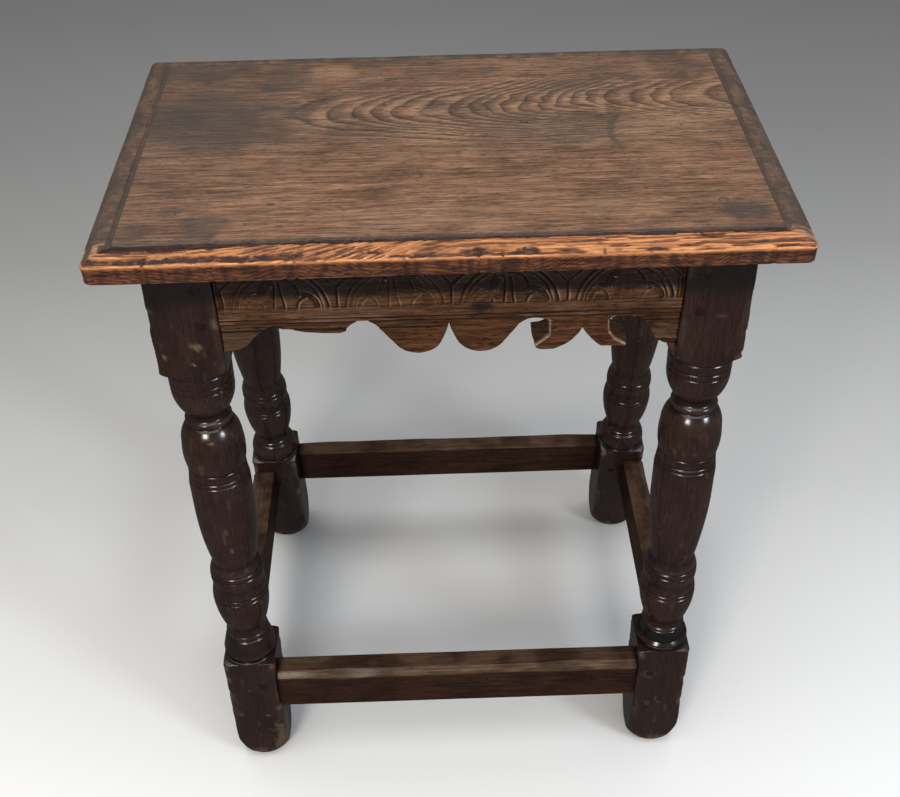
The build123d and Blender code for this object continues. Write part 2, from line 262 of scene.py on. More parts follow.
def add_piece(name, nodes, points, faces, wood, marks, material):
    """A piece from points in millimetres. wood holds each point's place in the wood, its first
    number along the grain, and marks the wear and dirt from 0 to 1, painted highlights and shade among them."""
    points = points.reshape(-1, 3)
    mesh = bpy.data.meshes.new(name)
    mesh.from_pydata((points * MM).tolist(), [], faces)
    layer = mesh.attributes.new("wood", "FLOAT_VECTOR", "POINT")
    layer.data.foreach_set("vector", np.ascontiguousarray(wood, dtype=np.float32).ravel())
    for key, values in marks.items():
        layer = mesh.attributes.new(key, "FLOAT", "POINT")
        values = np.ravel(values) + 0 * points[:, 0]
        layer.data.foreach_set("value", values.astype(np.float32))
    solid = bmesh.new()
    solid.from_mesh(mesh)
    bmesh.ops.remove_doubles(solid, verts=solid.verts, dist=1e-7)
    bmesh.ops.recalc_face_normals(solid, faces=solid.faces)
    solid.to_mesh(mesh)
    solid.free()
    mesh.shade_smooth()
    mesh.materials.append(material)
    piece = bpy.data.objects.new(name, mesh)
    bpy.context.scene.collection.objects.link(piece)
    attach(piece, "root")
    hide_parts(*nodes)
    return piece


# ------------------------------------------------------------------ materials
class Shader:
    """A new material and the nodes of its shader."""

    def __init__(self, name):
        self.material = bpy.data.materials.new(name)
        self.material.use_nodes = True
        self.tree = self.material.node_tree
        self.tree.nodes.clear()

    def node(self, kind, inputs=None, **settings):
        """A node. Each input is a value or another node's socket."""
        made = self.tree.nodes.new(kind)
        for key, value in settings.items():
            setattr(made, key, value)
        for key, value in (inputs or {}).items():
            if isinstance(value, bpy.types.NodeSocket):
                self.tree.links.new(value, made.inputs[key])
            else:
                made.inputs[key].default_value = value
        return made

    def ramp(self, factor, *stops):
        """A shade of grey from (place, brightness) stops."""
        made = self.node("ShaderNodeValToRGB", {"Fac": factor})
        elements = made.color_ramp.elements
        while len(elements) < len(stops):
            elements.new(0.5)
        for element, (place, shade) in zip(elements, stops):
            element.position = place
            element.color = (shade, shade, shade, 1)
        return made.outputs["Color"]

    def mix(self, factor, a, b, blend="MIX"):
        """Colour a turned towards colour b."""
        a, b = ((*colour, 1) if isinstance(colour, tuple) else colour for colour in (a, b))
        inputs = {0: factor, 6: a, 7: b}
        return self.node("ShaderNodeMix", inputs, data_type="RGBA", blend_type=blend).outputs[2]

    def math(self, operation, *values):
        return self.node("ShaderNodeMath", dict(enumerate(values)), operation=operation).outputs[0]

    def plus(self, a, b):
        return self.math("ADD", a, b)

    def minus(self, a, b):
        return self.math("SUBTRACT", a, b)

    def times(self, a, b):
        return self.math("MULTIPLY", a, b)

    def attribute(self, name, output="Fac"):
        return self.node("ShaderNodeAttribute", attribute_name=name).outputs[output]

    def wood_noise(self, size, detail, roughness=0.55):
        """Noise with features of about size millimetres along each direction of the wood."""
        scaled = self.node("ShaderNodeMapping", {"Vector": self.attribute("wood", "Vector"),
                                                 "Scale": tuple(1 / s for s in size)})
        made = self.node("ShaderNodeTexNoise", {"Vector": scaled.outputs[0], "Scale": 1.0,
                                                "Detail": detail, "Roughness": roughness})
        return made.outputs["Fac"]

    def finish(self, **inputs):
        """The material, once its surface has these inputs."""
        named = {key.replace("_", " "): value for key, value in inputs.items()}
        surface = self.node("ShaderNodeBsdfPrincipled", named)
        self.node("ShaderNodeOutputMaterial", {"Surface": surface.outputs[0]})
        return self.material


def oak(name, dark, light, worn, dirt_and_shade_colour, gloss, coat, grain, rings=False, sheen=1.1):
    """Old oak. Colours are linear; gloss is the roughness of the cleanest places, grain is how
    strongly the fibres show, and sheen is the refraction index under the coat."""
    shader = Shader(name)
    ramp, mix, times = shader.ramp, shader.mix, shader.times
    streaks = shader.wood_noise((70, 3, 3), 5, 0.65)
    fibres = shader.wood_noise((26, 1.5, 1.5), 5, 0.75)
    pores = ramp(shader.wood_noise((6, 1.0, 1.0), 1), (0.58, 0.0), (0.66, 1.0))
    scuffs = ramp(shader.wood_noise((3.2, 1.3, 1.3), 2, 0.7), (0.70, 0.0), (0.76, 1.0))
    blotches = shader.wood_noise((45, 30, 30), 4, 0.6)
    specks = ramp(shader.wood_noise((3, 3, 3), 3, 0.7), (0.66, 0.0), (0.74, 1.0))
    colour = mix(ramp(streaks, (0.28, 0.0), (0.72, 1.0)), dark, light)
    relief = times(fibres, 0.5)
    if rings:
        waver = times(shader.wood_noise((24, 3, 3), 4, 0.7), 0.24)
        turn = shader.math("FRACT", shader.plus(shader.attribute("rings"), waver))
        strength = shader.attribute("figure")
        early = ramp(turn, (0.0, 0.3), (0.03, 1.0), (0.12, 0.9), (0.19, 0.22), (0.27, 0.45),
                     (0.36, 0.05), (0.97, 0.0), (1.0, 0.3))
        early = times(early, strength)
        colour = mix(times(early, 0.92), colour, dirt_and_shade_colour)
        late = ramp(turn, (0.42, 0.0), (0.70, 1.0), (0.90, 1.0), (0.96, 0.0))
        colour = mix(times(times(late, strength), 0.35), colour, worn)
        relief = shader.minus(relief, times(early, 0.8))
    colour = mix(times(pores, 1.2 * grain), colour, dirt_and_shade_colour)
    colour = mix(times(scuffs, 0.5 * grain), colour, worn)
    relief = shader.minus(relief, times(pores, 0.5))
    shade = ramp(fibres, (0.34, 1 - grain), (0.5, 1.0), (0.66, 1 + grain))
    colour = mix(1.0, colour, shade, "MULTIPLY")
    shade = ramp(blotches, (0.34, 0.70), (0.5, 1.0), (0.68, 1.15))
    colour = mix(1.0, colour, shade, "MULTIPLY")
    # the worn colour also paints the highlights that the wear marks carry
    wear_and_highlight = times(shader.attribute("wear_and_highlight"), ramp(fibres, (0.3, 0.35), (0.6, 1.0)))
    colour = mix(wear_and_highlight, colour, worn)
    colour = mix(times(specks, 0.3), colour, dirt_and_shade_colour)
    # the dirt colour also paints the shade and shadows that the dirt marks carry
    dirt_and_shade = shader.attribute("dirt_and_shade")
    colour = mix(dirt_and_shade, colour, dirt_and_shade_colour)
    roughness = shader.plus(ramp(blotches, (0.3, gloss), (0.7, gloss + 0.2)), times(dirt_and_shade, 0.25))
    bump = shader.node("ShaderNodeBump", {"Height": relief, "Distance": 0.00035, "Strength": 0.6})
    return shader.finish(Base_Color=colour, Roughness=roughness, Normal=bump.outputs[0],
                         Coat_Weight=coat, Coat_Roughness=0.20, Coat_IOR=1.9, IOR=sheen)


# the grey dirt colour of the top also paints the sheen of its side borders
top_oak = oak("oak_top", (0.114, 0.060, 0.037), (0.222, 0.122, 0.075), (0.42, 0.250, 0.150),
              (0.050, 0.043, 0.038), 0.42, 0.02, 0.6, rings=True)
edge_oak = oak("oak_edge", (0.064, 0.019, 0.009), (0.150, 0.049, 0.020), (0.66, 0.28, 0.11),
               (0.019, 0.013, 0.014), 0.36, 0.06, 0.85, rings=True)
rail_oak = oak("oak_rail", (0.032, 0.0125, 0.0058), (0.100, 0.044, 0.020), (0.32, 0.215, 0.145),
               (0.0070, 0.0056, 0.0056), 0.44, 0.03, 0.65)
dark_oak = oak("oak_dark", (0.0170, 0.0074, 0.0055), (0.028, 0.0128, 0.0096), (0.22, 0.150, 0.100),
               (0.0056, 0.0044, 0.0042), 0.36, 0.42, 0.36, sheen=1.05)
bar_oak = oak("oak_bar", (0.0190, 0.0080, 0.0052), (0.033, 0.0150, 0.0096), (0.24, 0.160, 0.100),
              (0.0056, 0.0044, 0.0042), 0.40, 0.10, 0.50, sheen=1.05)
peg_oak = oak("oak_peg", (0.008, 0.0048, 0.0038), (0.018, 0.0090, 0.0068), (0.08, 0.05, 0.035),
              (0.006, 0.004, 0.003), 0.42, 0.06, 0.3, sheen=1.04)
top_peg_oak = oak("oak_top_peg", (0.08, 0.046, 0.031), (0.15, 0.086, 0.058), (0.2, 0.12, 0.08),
                  (0.03, 0.02, 0.016), 0.45, 0.02, 0.4)


# ------------------------------------------------------------------ legs
ring_marks = (431.5, 423.5, 418.5, 334.8, 331, 223, 218.5, 200.5, 196.5)    # heights up the leg
ring_deep = 0.8
ring_half = 0.6
leg_radius = 25       # where the wood's noise is read, whatever the radius there
dent_count = 46
blur_rows = 17        # rows over which the outline is smoothed, to find its crests and hollows
turned_most = 24      # no turning is wider, so wider rows belong to the blocks

# pale marks on the outer faces: X from the leg's middle, height, half width, half height, strength
leg_marks = {
    "leg_front_left": [
        (6, 462, 4.6, 3.4, 0.45), (2.5, 447, 1.3, 1.3, 0.7), (-16.5, 455, 1.6, 1.6, 0.6),
        (-4, 96, 2.0, 1.5, 0.3), (9, 60, 1.4, 1.2, 0.5), (3, 375, 1.3, 1.3, 0.7),
        (4, 262, 1.2, 3.0, 0.35), (2, 285, 1.1, 4.0, 0.3), (-7, 350, 2.0, 6.0, 0.15),
        (19, 22, 8.0, 26, 0.42), (-15, 62, 1.6, 1.8, 0.5)],
    "leg_front_right": [
        (-12, 100, 6.0, 5.0, 0.16), (-9, 60, 2.0, 3.5, 0.25), (4, 476, 4.0, 1.0, 0.2),
        (8, 52, 1.2, 5.0, 0.2), (-2, 66, 1.2, 4.0, 0.2), (1, 60, 1.0, 5.0, 0.2)]}

# hand turned, so the turnings of the front legs sit up to 9 mm off the common pattern: height, shift
turning_shifts = {"leg_front_left": ((129.5, 140, 155, 198, 221, 262, 331), (0, 3, 7, 6.5, 9.5, 4, 0)),
                  "leg_front_right": ((150, 198, 221, 262), (0, -5, -3, 0))}
torus_narrower = {"leg_front_right": 3.2, "leg_front_left": 1.0}


def turned_outline():
    """Rows of the turned leg from the foot up, as radius and height up the leg."""
    corner = 1.5 * half
    return path(
        line((0.5, 0), (foot_flat, 0), step=3),
        arc((foot_flat, 0), (22, 5.5), (26.5, 14)),
        arc((26.5, 14), (29.5, 26), (30.5, 40), step=1.5),
        line((30.5, 40), (corner, 46), (corner, block_low_top - 4), step=2),
        line((corner, block_low_top - 4), (31.5, block_low_top - 1.6), (28.5, block_low_top - 0.5),
             (25, block_low_top), (22.2, block_low_top)),
        # torus over the lower block, its fillet and the lowest neck
        arc((22.2, block_low_top), (22.3, 138), (18.8, 147)),
        line((18.8, 147), (17.2, 147.8), (18.2, 149), (18, 150.8), (16.8, 152), (16.4, 155),
             (16.4, 157.5)),
        # cup, and the ring over it
        arc((16.4, 157.5), (20.9, 173), (23.1, 190.5)),
        arc((23.1, 190.5), (22.7, 199.5), (20.6, 207.5)),
        arc((20.6, 207.5), (21.9, 215), (19.2, 228)),
        line((19.2, 228), (17.6, 231.5)),
        # long vase
        arc((17.6, 231.5), (22.1, 264), (23.8, 300)),
        line((23.8, 300), (23.8, 325), (22.4, 336), (22.2, 341.5), (21.4, 342.7), (22.6, 344)),
        # bulb, and the bead under it
        arc((22.6, 344), (23.85, 354), (23.1, 366)),
        arc((23.1, 366), (21.5, 375.5), (17.6, 382.4)),
        line((17.6, 382.4), (16.4, 383.2), (17.6, 384.6), (17.5, 387.6), (15.3, 390), (15.3, 393.5)),
        # cup under the upper block
        arc((15.3, 393.5), (20.9, 403), (23.3, 416)),
        line((23.3, 416), (23.8, block_high_low), (27, block_high_low)),
        arc((27, block_high_low), (30.5, block_high_low + 1.6), (corner, block_high_low + 9)),
        line((corner, block_high_low + 9), (corner, leg_long), step=2))


def with_ring_rows(outline):
    """The outline with extra rows across each incised ring."""
    ups = (np.array(ring_marks)[:, None] + np.linspace(-1.6, 1.6, 9)).ravel()
    extra = pairs(np.interp(ups, outline[:, 1], outline[:, 0]), ups)
    rows = np.concatenate([outline, extra])
    rows = rows[np.lexsort((rows[:, 0], np.round(rows[:, 1], 4)))]
    shoulder = np.abs(rows[:, 1] - block_low_top) < 1e-6
    rows[shoulder] = rows[shoulder][::-1]    # here the outline runs inwards
    return rows


def square_radius(angle, side_half, sharp):
    """Radius of a square with worn corners; a larger sharp gives crisper corners."""
    c, s = np.abs(np.cos(angle)), np.abs(np.sin(angle))
    return side_half / (c**sharp + s**sharp) ** (1 / sharp)


def leg_angles(count=26):
    """Angles round a leg, closer together at the corners of its blocks."""
    t = np.linspace(-1, 1, count, endpoint=False)
    face = np.sign(t) * (1 - (1 - np.abs(t)) ** 1.6) * pi / 4
    return np.concatenate([face + quarter * pi / 2 for quarter in range(4)])


def raked(x, out, up, sy):
    """World place of a point in a leg's frame: x, out from the leg's axis plane, and up the leg."""
    return np.stack([x + 0 * up, sy * (leg_foot_y - up * lean + out * level) + 0 * x,
                     up * level + out * lean + 0 * x], -1)


def dents(here, seed):
    """Depth of small dents all over a leg."""
    deep = 0
    generator = np.random.default_rng(SEED + seed)
    for _ in range(dent_count):
        at = np.array([0, 0, generator.uniform(10, leg_long)])
        swing = generator.uniform(0, 2 * pi)
        at[:2] = leg_radius * cos(swing), leg_radius * sin(swing)
        size = generator.uniform(1.4, 3.6)
        reach = np.linalg.norm((here - at) / np.array([1, 1, generator.uniform(0.8, 2.5)]), axis=-1)
        deep = deep + generator.uniform(0.1, 0.3) * bell(reach, size)
    return deep


def make_leg(name, sx, sy, seed):
    rows = with_ring_rows(turned_outline())
    angle = leg_angles()
    turn, up = rows[:, :1], rows[:, 1:]
    torus = smooth(150, 142, up) * (up > block_low_top - 0.01) * (turn < 22.6)
    turn = turn - torus_narrower.get(name, 0) * torus
    shift = np.interp(up, *turning_shifts.get(name, ((0, 1), (0, 0))))
    here = np.stack(np.broadcast_arrays(leg_radius * np.cos(angle), leg_radius * np.sin(angle), up), -1)

    # the squared blocks and the turnings, whichever is narrower
    low_block = smooth(neck_high + 5, neck_high - 5, up)
    crisp = ((12 + 10 * noise(here, 24, seed)) * low_block
             + (11 + 12 * noise(here, 18, seed)) * (1 - low_block))
    stock = half - low_block * (half - foot_half)
    square = square_radius(angle, stock, crisp)
    soft = 0.3
    radius = -soft * np.log(np.exp(-turn / soft) + np.exp(-square / soft) + 1e-60)
    radius = np.where(turn > square + 6, square, radius)

    # incised rings, wear of the surface, chipped arrises and dents
    ring = sum(bell(up - at, ring_half) for at in ring_marks)
    ring = ring * smooth(0.05, 0.35, noise(here, (14, 14, 60), seed + 30))
    worn_away = (0.45 * rough(here, 24, seed + 10) + 0.07 * noise(here, (3.2, 3.2, 45), seed + 20)
                 + ring_deep * ring * (0.55 + 0.6 * noise(here, 12, seed + 30)))
    blocky = smooth(0.5, 2.5, turn - square)
    edge = smooth(0.86, 0.985, square / (stock * 1.4142)) * blocky
    chips = smooth(0.58, 0.78, noise(here, (8, 8, 10), seed + 50))
    worn_away = worn_away + edge * (1.2 * chips + 1.3 * rough(here, (5, 5, 8), seed + 60) - 0.4)
    radius = np.maximum(radius - worn_away - dents(here, seed), 0.4)
    x, out = radius * np.cos(angle), radius * np.sin(angle)
    points = raked(sx * leg_x + x, out, up + shift + 0 * x, sy)
    points[..., 2] = np.clip(points[..., 2], 0, frame_top)

    # pale crests, arrises, foot and scratches, a painted highlight on the lower blocks' top edges, dark
    # hollows and rings, darker low down, and the board's painted shadow over the top
    padded = np.pad(rows[:, 0], blur_rows // 2, "edge")
    blurred = np.convolve(padded, np.ones(blur_rows) / blur_rows, "valid")[:, None]
    above_blur = np.minimum(turn, turned_most) - np.minimum(blurred, turned_most)
    crest = np.clip(above_blur / 1.6, 0, 1) * (1 - blocky)
    hollow = np.clip(-above_blur / 1.8, 0, 1) * (1 - blocky)
    patchy = smooth(0.35, 0.75, rough(here, 16, seed + 40))
    foot = smooth(16, 4, up) * smooth(0.45, 0.6, noise(here, (7, 7, 5), seed + 70))
    # the lower block's top edges: partly worn, partly painted highlight
    shoulder = (smooth(block_low_top - 15, block_low_top - 5, up)
                * smooth(block_low_top + 1, block_low_top, up))
    wear_and_highlight = (edge * (0.15 + 0.5 * chips) * patchy + 0.22 * crest * patchy + 0.6 * foot
            + 0.5 * edge * shoulder * smooth(0.3, 0.6, noise(here, 6, seed + 75)))
    scratches = (smooth(0.76, 0.86, noise(here, (1.8, 1.8, 8), seed + 90))
                 * smooth(0.4, 0.6, rough(here, 20, seed + 95)))
    wear_and_highlight = np.clip(np.maximum(wear_and_highlight, 0.12 * scratches), 0, 0.9)
    for at_x, at_up, wide, high, strength in leg_marks.get(name, []):
        ragged = 0.7 * (rough(here, 3.5, 78) - 0.5) * min(2.5, max(wide, high) / 2)
        reach = np.hypot((x - at_x) / wide, (up - at_up) / high) + ragged
        wear_and_highlight = np.maximum(wear_and_highlight, strength * smooth(1.1, 0.7, reach) * (out > 0))
    # painted shadow of the board over the top of each leg
    board_shadow = smooth(leg_long - 41, leg_long - 31, up + 4 * noise(here, 14, seed + 80))
    dirt_and_shade = np.clip(0.9 * hollow + 0.8 * np.clip(ring, 0, 1) + 0.22 * smooth(165, 125, up)
                   + 0.75 * board_shadow, 0, 0.95)
    wood = np.stack([up + 0 * x + 700 * seed, x + 31 * seed, out + 17 * seed], -1)
    return add_piece(name, [name], points, tube_faces(len(rows), len(angle)), wood,
                     {"wear_and_highlight": wear_and_highlight, "dirt_and_shade": dirt_and_shade}, dark_oak)


for seed, (name_y, sy) in enumerate(sides_y.items()):
    for name_x, sx in sides_x.items():
        make_leg(f"leg_{name_y}_{name_x}", sx, sy, 5 + 3 * seed + sx)


# ------------------------------------------------------------------ bars: rails and stretchers
joint_gap = 0.9994    # bars stop a hair short of the legs
stations = np.concatenate([[-joint_gap], np.linspace(-0.995, 0.995, 150), [joint_gap]])
bar_half = 150        # half the length of a bar, as the wood's noise takes it


def rounded(corners, radii, step=1.2):
    """A closed section whose corners are rounded, counter-clockwise."""
    corners = np.array(corners, dtype=float)
    strokes = []
    for i, (corner, radius) in enumerate(zip(corners, radii)):
        to_last = corners[i - 1] - corner
        to_next = corners[(i + 1) % len(corners)] - corner
        a = corner + to_last / hypot(*to_last) * radius
        b = corner + to_next / hypot(*to_next) * radius
        middle = (a + b) / 2 + (corner - (a + b) / 2) * 0.414
        strokes.append(arc(a, middle, b, step=max(radius / 5, 0.12)))
    section = [strokes[0]]
    for stroke in strokes[1:] + [strokes[0]]:
        section.append(line(section[-1][-1], stroke[0], step=step)[1:])
        if stroke is not strokes[0]:
            section.append(stroke[1:])
    return np.concatenate(section)[:-1]


def make_bar(name, section, place, seed, material, worn_corner=None, wear_deep=0):
    """A bar of one section, out and up, between two legs. place turns out, up and the station
    from -1 to 1 into the world; the corner named is worn away unevenly."""
    s, out, up = np.broadcast_arrays(stations[:, None], section[:, 0], section[:, 1])
    tangent = np.roll(section, -1, 0) - np.roll(section, 1, 0)
    normal = np.stack([tangent[:, 1], -tangent[:, 0]], -1)
    normal /= np.linalg.norm(normal, axis=1)[:, None] + 1e-12
    here = np.stack([bar_half * s, out, up], -1)
    centre = section.mean(0)
    span = np.abs(section - centre).max(0)
    corner = (smooth(0.90, 1.0, np.abs(out - centre[0]) / span[0])
              * smooth(0.93, 1.0, np.abs(up - centre[1]) / span[1]))
    away = 0.35 * rough(here, (60, 14, 14), seed) + 0.18 * noise(here, (50, 1.6, 1.6), seed + 5)
    out, up = out - normal[:, 0] * away, up - normal[:, 1] * away
    patchy = smooth(0.3, 0.7, rough(here, 20, seed + 9))
    wear_and_highlight = 0
    if worn_corner is not None:
        side = np.sign(worn_corner[0] - section[:, 0].mean())
        from_corner = side * (worn_corner[0] - out) + worn_corner[1] - up
        deep = wear_deep * (0.85 + 0.3 * noise(here * [1, 0, 0] + 0.5, 30, seed + 7))
        short = np.clip(deep - from_corner, 0, None)
        out, up = out - side * short * 0.5, up - short * 0.5
        bared = smooth(1.2, -0.6, from_corner - deep) * (0.1 + 0.45 * rough(here, (9, 3, 3), seed + 3))
        wear_and_highlight = np.maximum(bared, 0.17 * smooth(0.6, 0.95, normal[:, 1]) * (0.4 + patchy))
    wear_and_highlight = np.clip(wear_and_highlight * (0.45 + 0.55 * patchy) + 0.45 * corner * patchy, 0, 1)
    dirt_and_shade = smooth(0.965, 1.0, np.abs(s)) * 0.7
    wood = np.stack([bar_half * s + 400 * seed, out + 11 * seed, up + 7 * seed], -1)
    return add_piece(name, [name], place(out, up, s), tube_faces(len(stations), len(section)), wood,
                     {"wear_and_highlight": wear_and_highlight, "dirt_and_shade": dirt_and_shade}, material)


def raked_place(edge, sy):
    """Place of a front or back bar: out from the legs' axis plane, up the leg, along X."""
    def place(out, up, s):
        points = raked(s * edge, out, up, sy)
        points[..., 2] = np.minimum(points[..., 2], frame_top)
        return points
    return place


def leg_y(up):
    """Y of a back leg's axis at this height."""
    return leg_top_y + (under_top - up) * tan(rake)


def upright_place(sx, block_half):
    """Place of a side bar: out from the middle along X, up along Z, ends to the lean of the legs."""
    def place(out, up, s):
        return np.stack([sx * out, s * (leg_y(up) - block_half / level), np.minimum(up, frame_top)], -1)
    return place


stretcher_high = stretcher_low + stretcher_deep
side_face = leg_x + foot_half
for names, face, first_seed, worn in ((sides_y, foot_half, 40, 6), (sides_x, side_face, 50, 5)):
    back = face - stretcher_thick
    section = rounded([(face, stretcher_low), (face, stretcher_high), (back, stretcher_high),
                       (back, stretcher_low)], (1.2, 1.2, 1.0, 0.8))
    for seed, (name, side) in enumerate(names.items()):
        place = raked_place(stretcher_edge, side) if names is sides_y else upright_place(side, foot_half)
        make_bar(f"stretcher_{name}", section, place, first_seed + seed, bar_oak,
                 worn_corner=(face, stretcher_high), wear_deep=worn)


def moulded_section(face, top):
    """Section of a plain rail with its run moulding, out and up, counter-clockwise."""
    back, inner = face - rail_thick, face - step_in
    groove = inner - quirk
    low = top - rail_deep
    lip, under_bead, over_bead, step_up = (
        at + (top - leg_long) for at in (lip_top, bead_low, bead_top, frieze_low))
    return path(
        arc((inner - 1.5, low), (inner - 0.4, low + 0.4), (inner, low + 1.5), step=0.3),
        line((inner, low + 1.5), (inner, lip - quirk), step=1.5),
        line((inner, lip - quirk), (groove, lip - quirk + 0.2), (groove, lip - 0.2), (inner, lip), step=0.4),
        line((inner, lip), (inner, under_bead - quirk), step=1.5),
        line((inner, under_bead - quirk), (groove, under_bead - quirk + 0.2), (groove, under_bead),
             (inner, under_bead), step=0.4),
        arc((inner, under_bead), (inner + 1.5, under_bead + 1.5), (inner, over_bead), step=0.4),
        line((inner, over_bead), (inner, step_up - 0.2), step=0.4),
        line((inner, step_up - 0.2), (face - 0.6, step_up), step=0.5),
        arc((face - 0.6, step_up), (face - 0.15, step_up + 0.2), (face, step_up + 0.8), step=0.2),
        line((face, step_up + 0.8), (face, top), (back, top), (back, low + 1), step=2),
        arc((back, low + 1), (back + 0.3, low + 0.3), (back + 1, low), step=0.3),
        line((back + 1, low), (inner - 1.5, low), step=2))[:-1]


make_bar("rail_back", moulded_section(rail_face, leg_long), raked_place(rail_edge, 1), 60, rail_oak)
for seed, (name, sx) in enumerate(sides_x.items()):
    make_bar(f"rail_{name}", moulded_section(leg_x + rail_face, under_top), upright_place(sx, half),
             70 + seed, rail_oak)


# ------------------------------------------------------------------ carved front rail
stem_places = (-151.4, -75.3, 0.3, 77.6, 154)
lunette_reach = 38.4    # half the width of the frieze that one lunette fills


def bow(x, up, wide, high, start, end, count):
    """Points on an ellipse with this middle and these half sizes, between two angles."""
    swing = np.linspace(start, end, count)
    return pairs(x + wide * np.cos(swing), up + high * np.sin(swing))


def lunette_cuts():
    """Gouge cuts of one lunette, from its middle and its base line: points, half width, depth."""
    cuts = [(line((-3.7, 0), (-3.2, 9), (-2.8, 19), step=3), 0.75, 1.0),
            (line((3.2, 0), (1.9, 9), (0.6, 20), step=3), 0.75, 1.0),
            (bow(0, 11, 12.8, 12.8, -0.1, pi + 0.1, 26), 0.9, 1.2),
            (bow(0, 11, 10.8, 10.8, 0.65 * pi, pi, 10), 2.2, 0.9)]
    for side in (-1, 1):
        for curve, wide, deep in ((bow(12.5, 0, 13.9, 12.6, 0, pi / 2, 12), 0.9, 1.1),
                                  (bow(19.3, 0, -8.2, 8.6, 0, 0.42 * pi, 9), 0.8, 0.9),
                                  (bow(12.5, 0, 11.7, 10.4, 0.15, pi / 2, 10), 1.9, 0.7)):
            cuts.append((curve * (side, 1), wide, deep))
    for radius, drop, base, wide, deep in ((32.7, 3.1, 0, 0.9, 1.2), (28.6, 2.4, 0, 0.8, 1.0),
                                           (48.5, 15.4, 15, 0.9, 1.2)):
        start = np.arcsin((base + drop) / radius)
        cuts.append((bow(0, -drop, radius, radius, start, pi - start, 40), wide, deep))
    return cuts


def side_of(points, polyline):
    """Positive where a point lies outwards or to the right of the nearest point of a polyline."""
    nearest = np.argmin(np.linalg.norm(points[..., None, :] - polyline, axis=-1), axis=-1)
    away = points - polyline[nearest]
    return away[..., 0] + 0.5 * away[..., 1]


def v_cut(gap, wide, deep):
    """Depth of a cut at this distance from its middle."""
    return 1.5 * deep * (1 - smooth(0, 1, gap / (wide * 1.5)))


def carving(x, up):
    """Depth of the carving on the frieze, and the pale crests beside its cuts, on one side of each only:
    painted highlight.
    """
    here = flat(x, up)
    x = x + 0.9 * (noise(here, 9, 81) - 0.5)
    above = up - carving_low + 0.7 * (noise(here, 7, 82) - 0.5)
    deep = v_cut(np.abs(above), 0.6, 0.8)
    crest = 0 * x
    middles = (np.array(stem_places[:-1]) + np.array(stem_places[1:])) / 2
    nearest = np.argmin(np.abs(x[..., None] - middles), axis=-1)
    local = pairs(x - middles[nearest], above)
    near = (np.abs(local[..., 0]) < lunette_reach) * np.clip(0.30 + noise(here, 13, 83), 0, 1.05)
    for curve, wide, depth in lunette_cuts():
        gap = distance(local, curve)
        deep = np.maximum(deep, near * v_cut(gap, wide, depth))
        # pale only on one side of each cut: painted highlight
        beside = bell(gap - 1.7 * wide, 0.45) * smooth(-0.2, 0.4, side_of(local, curve))
        crest = np.maximum(crest, near * beside)
    for at in stem_places:
        gap = np.where(above < 15, np.abs(x - at), np.hypot(x - at, above - 15))
        deep = np.maximum(deep, v_cut(gap, 0.7, 1.1))
        # pale only on the right of each stem: painted highlight
        crest = np.maximum(crest, 0.8 * bell(x - at - 1.3, 0.45) * (above < 15))
    for at in (-153.3, 151, 153.2):
        deep = np.maximum(deep, v_cut(np.abs(x - at), 0.6, 0.8))
    deep = np.maximum(deep, v_cut(np.abs(above - 37), 0.7, 0.8))
    above_base = smooth(-0.9, -0.2, above)
    return deep * above_base, crest * above_base


def run_moulding(up):
    """Depth of the rail's front behind its face, from the frieze down to the apron."""
    deep = step_in * smooth(frieze_low + 0.15, frieze_low - 0.35, up)
    bead_half = (bead_top - bead_low) / 2
    deep = deep - np.clip(1 - ((up - bead_middle) / bead_half) ** 2, 0, None) ** 0.5 * bead_half
    for top in (bead_low, lip_top):
        deep = deep + (quirk * smooth(top + 0.12, top - 0.12, up)
                       * smooth(top - quirk - 0.12, top - quirk + 0.12, up))
    return deep


# broken and split places of the apron, X and height up the rail
splits = [np.array([(53, 3), (57.5, 3), (67.3, 11), (67.3, 23.5), (53, 21)]),
          np.array([(107, 21.5), (108, 12.8), (112, 6.8), (121, 1.5), (124, -1), (124, 25), (110, 25)])]
split_deep = 1.8
shard_back = 6.5    # back of the thin shards left at the splits
rail_low = leg_long - rail_deep


def back_depth(x, up):
    """Depth of the rail's back behind its face: the shards at the splits are thin."""
    shard = smooth(479, 475, up) * np.maximum(smooth(47, 51, x) * smooth(71, 67, x),
                                              smooth(103, 107, x) * smooth(128, 124, x))
    return rail_thick - (rail_thick - shard_back) * shard


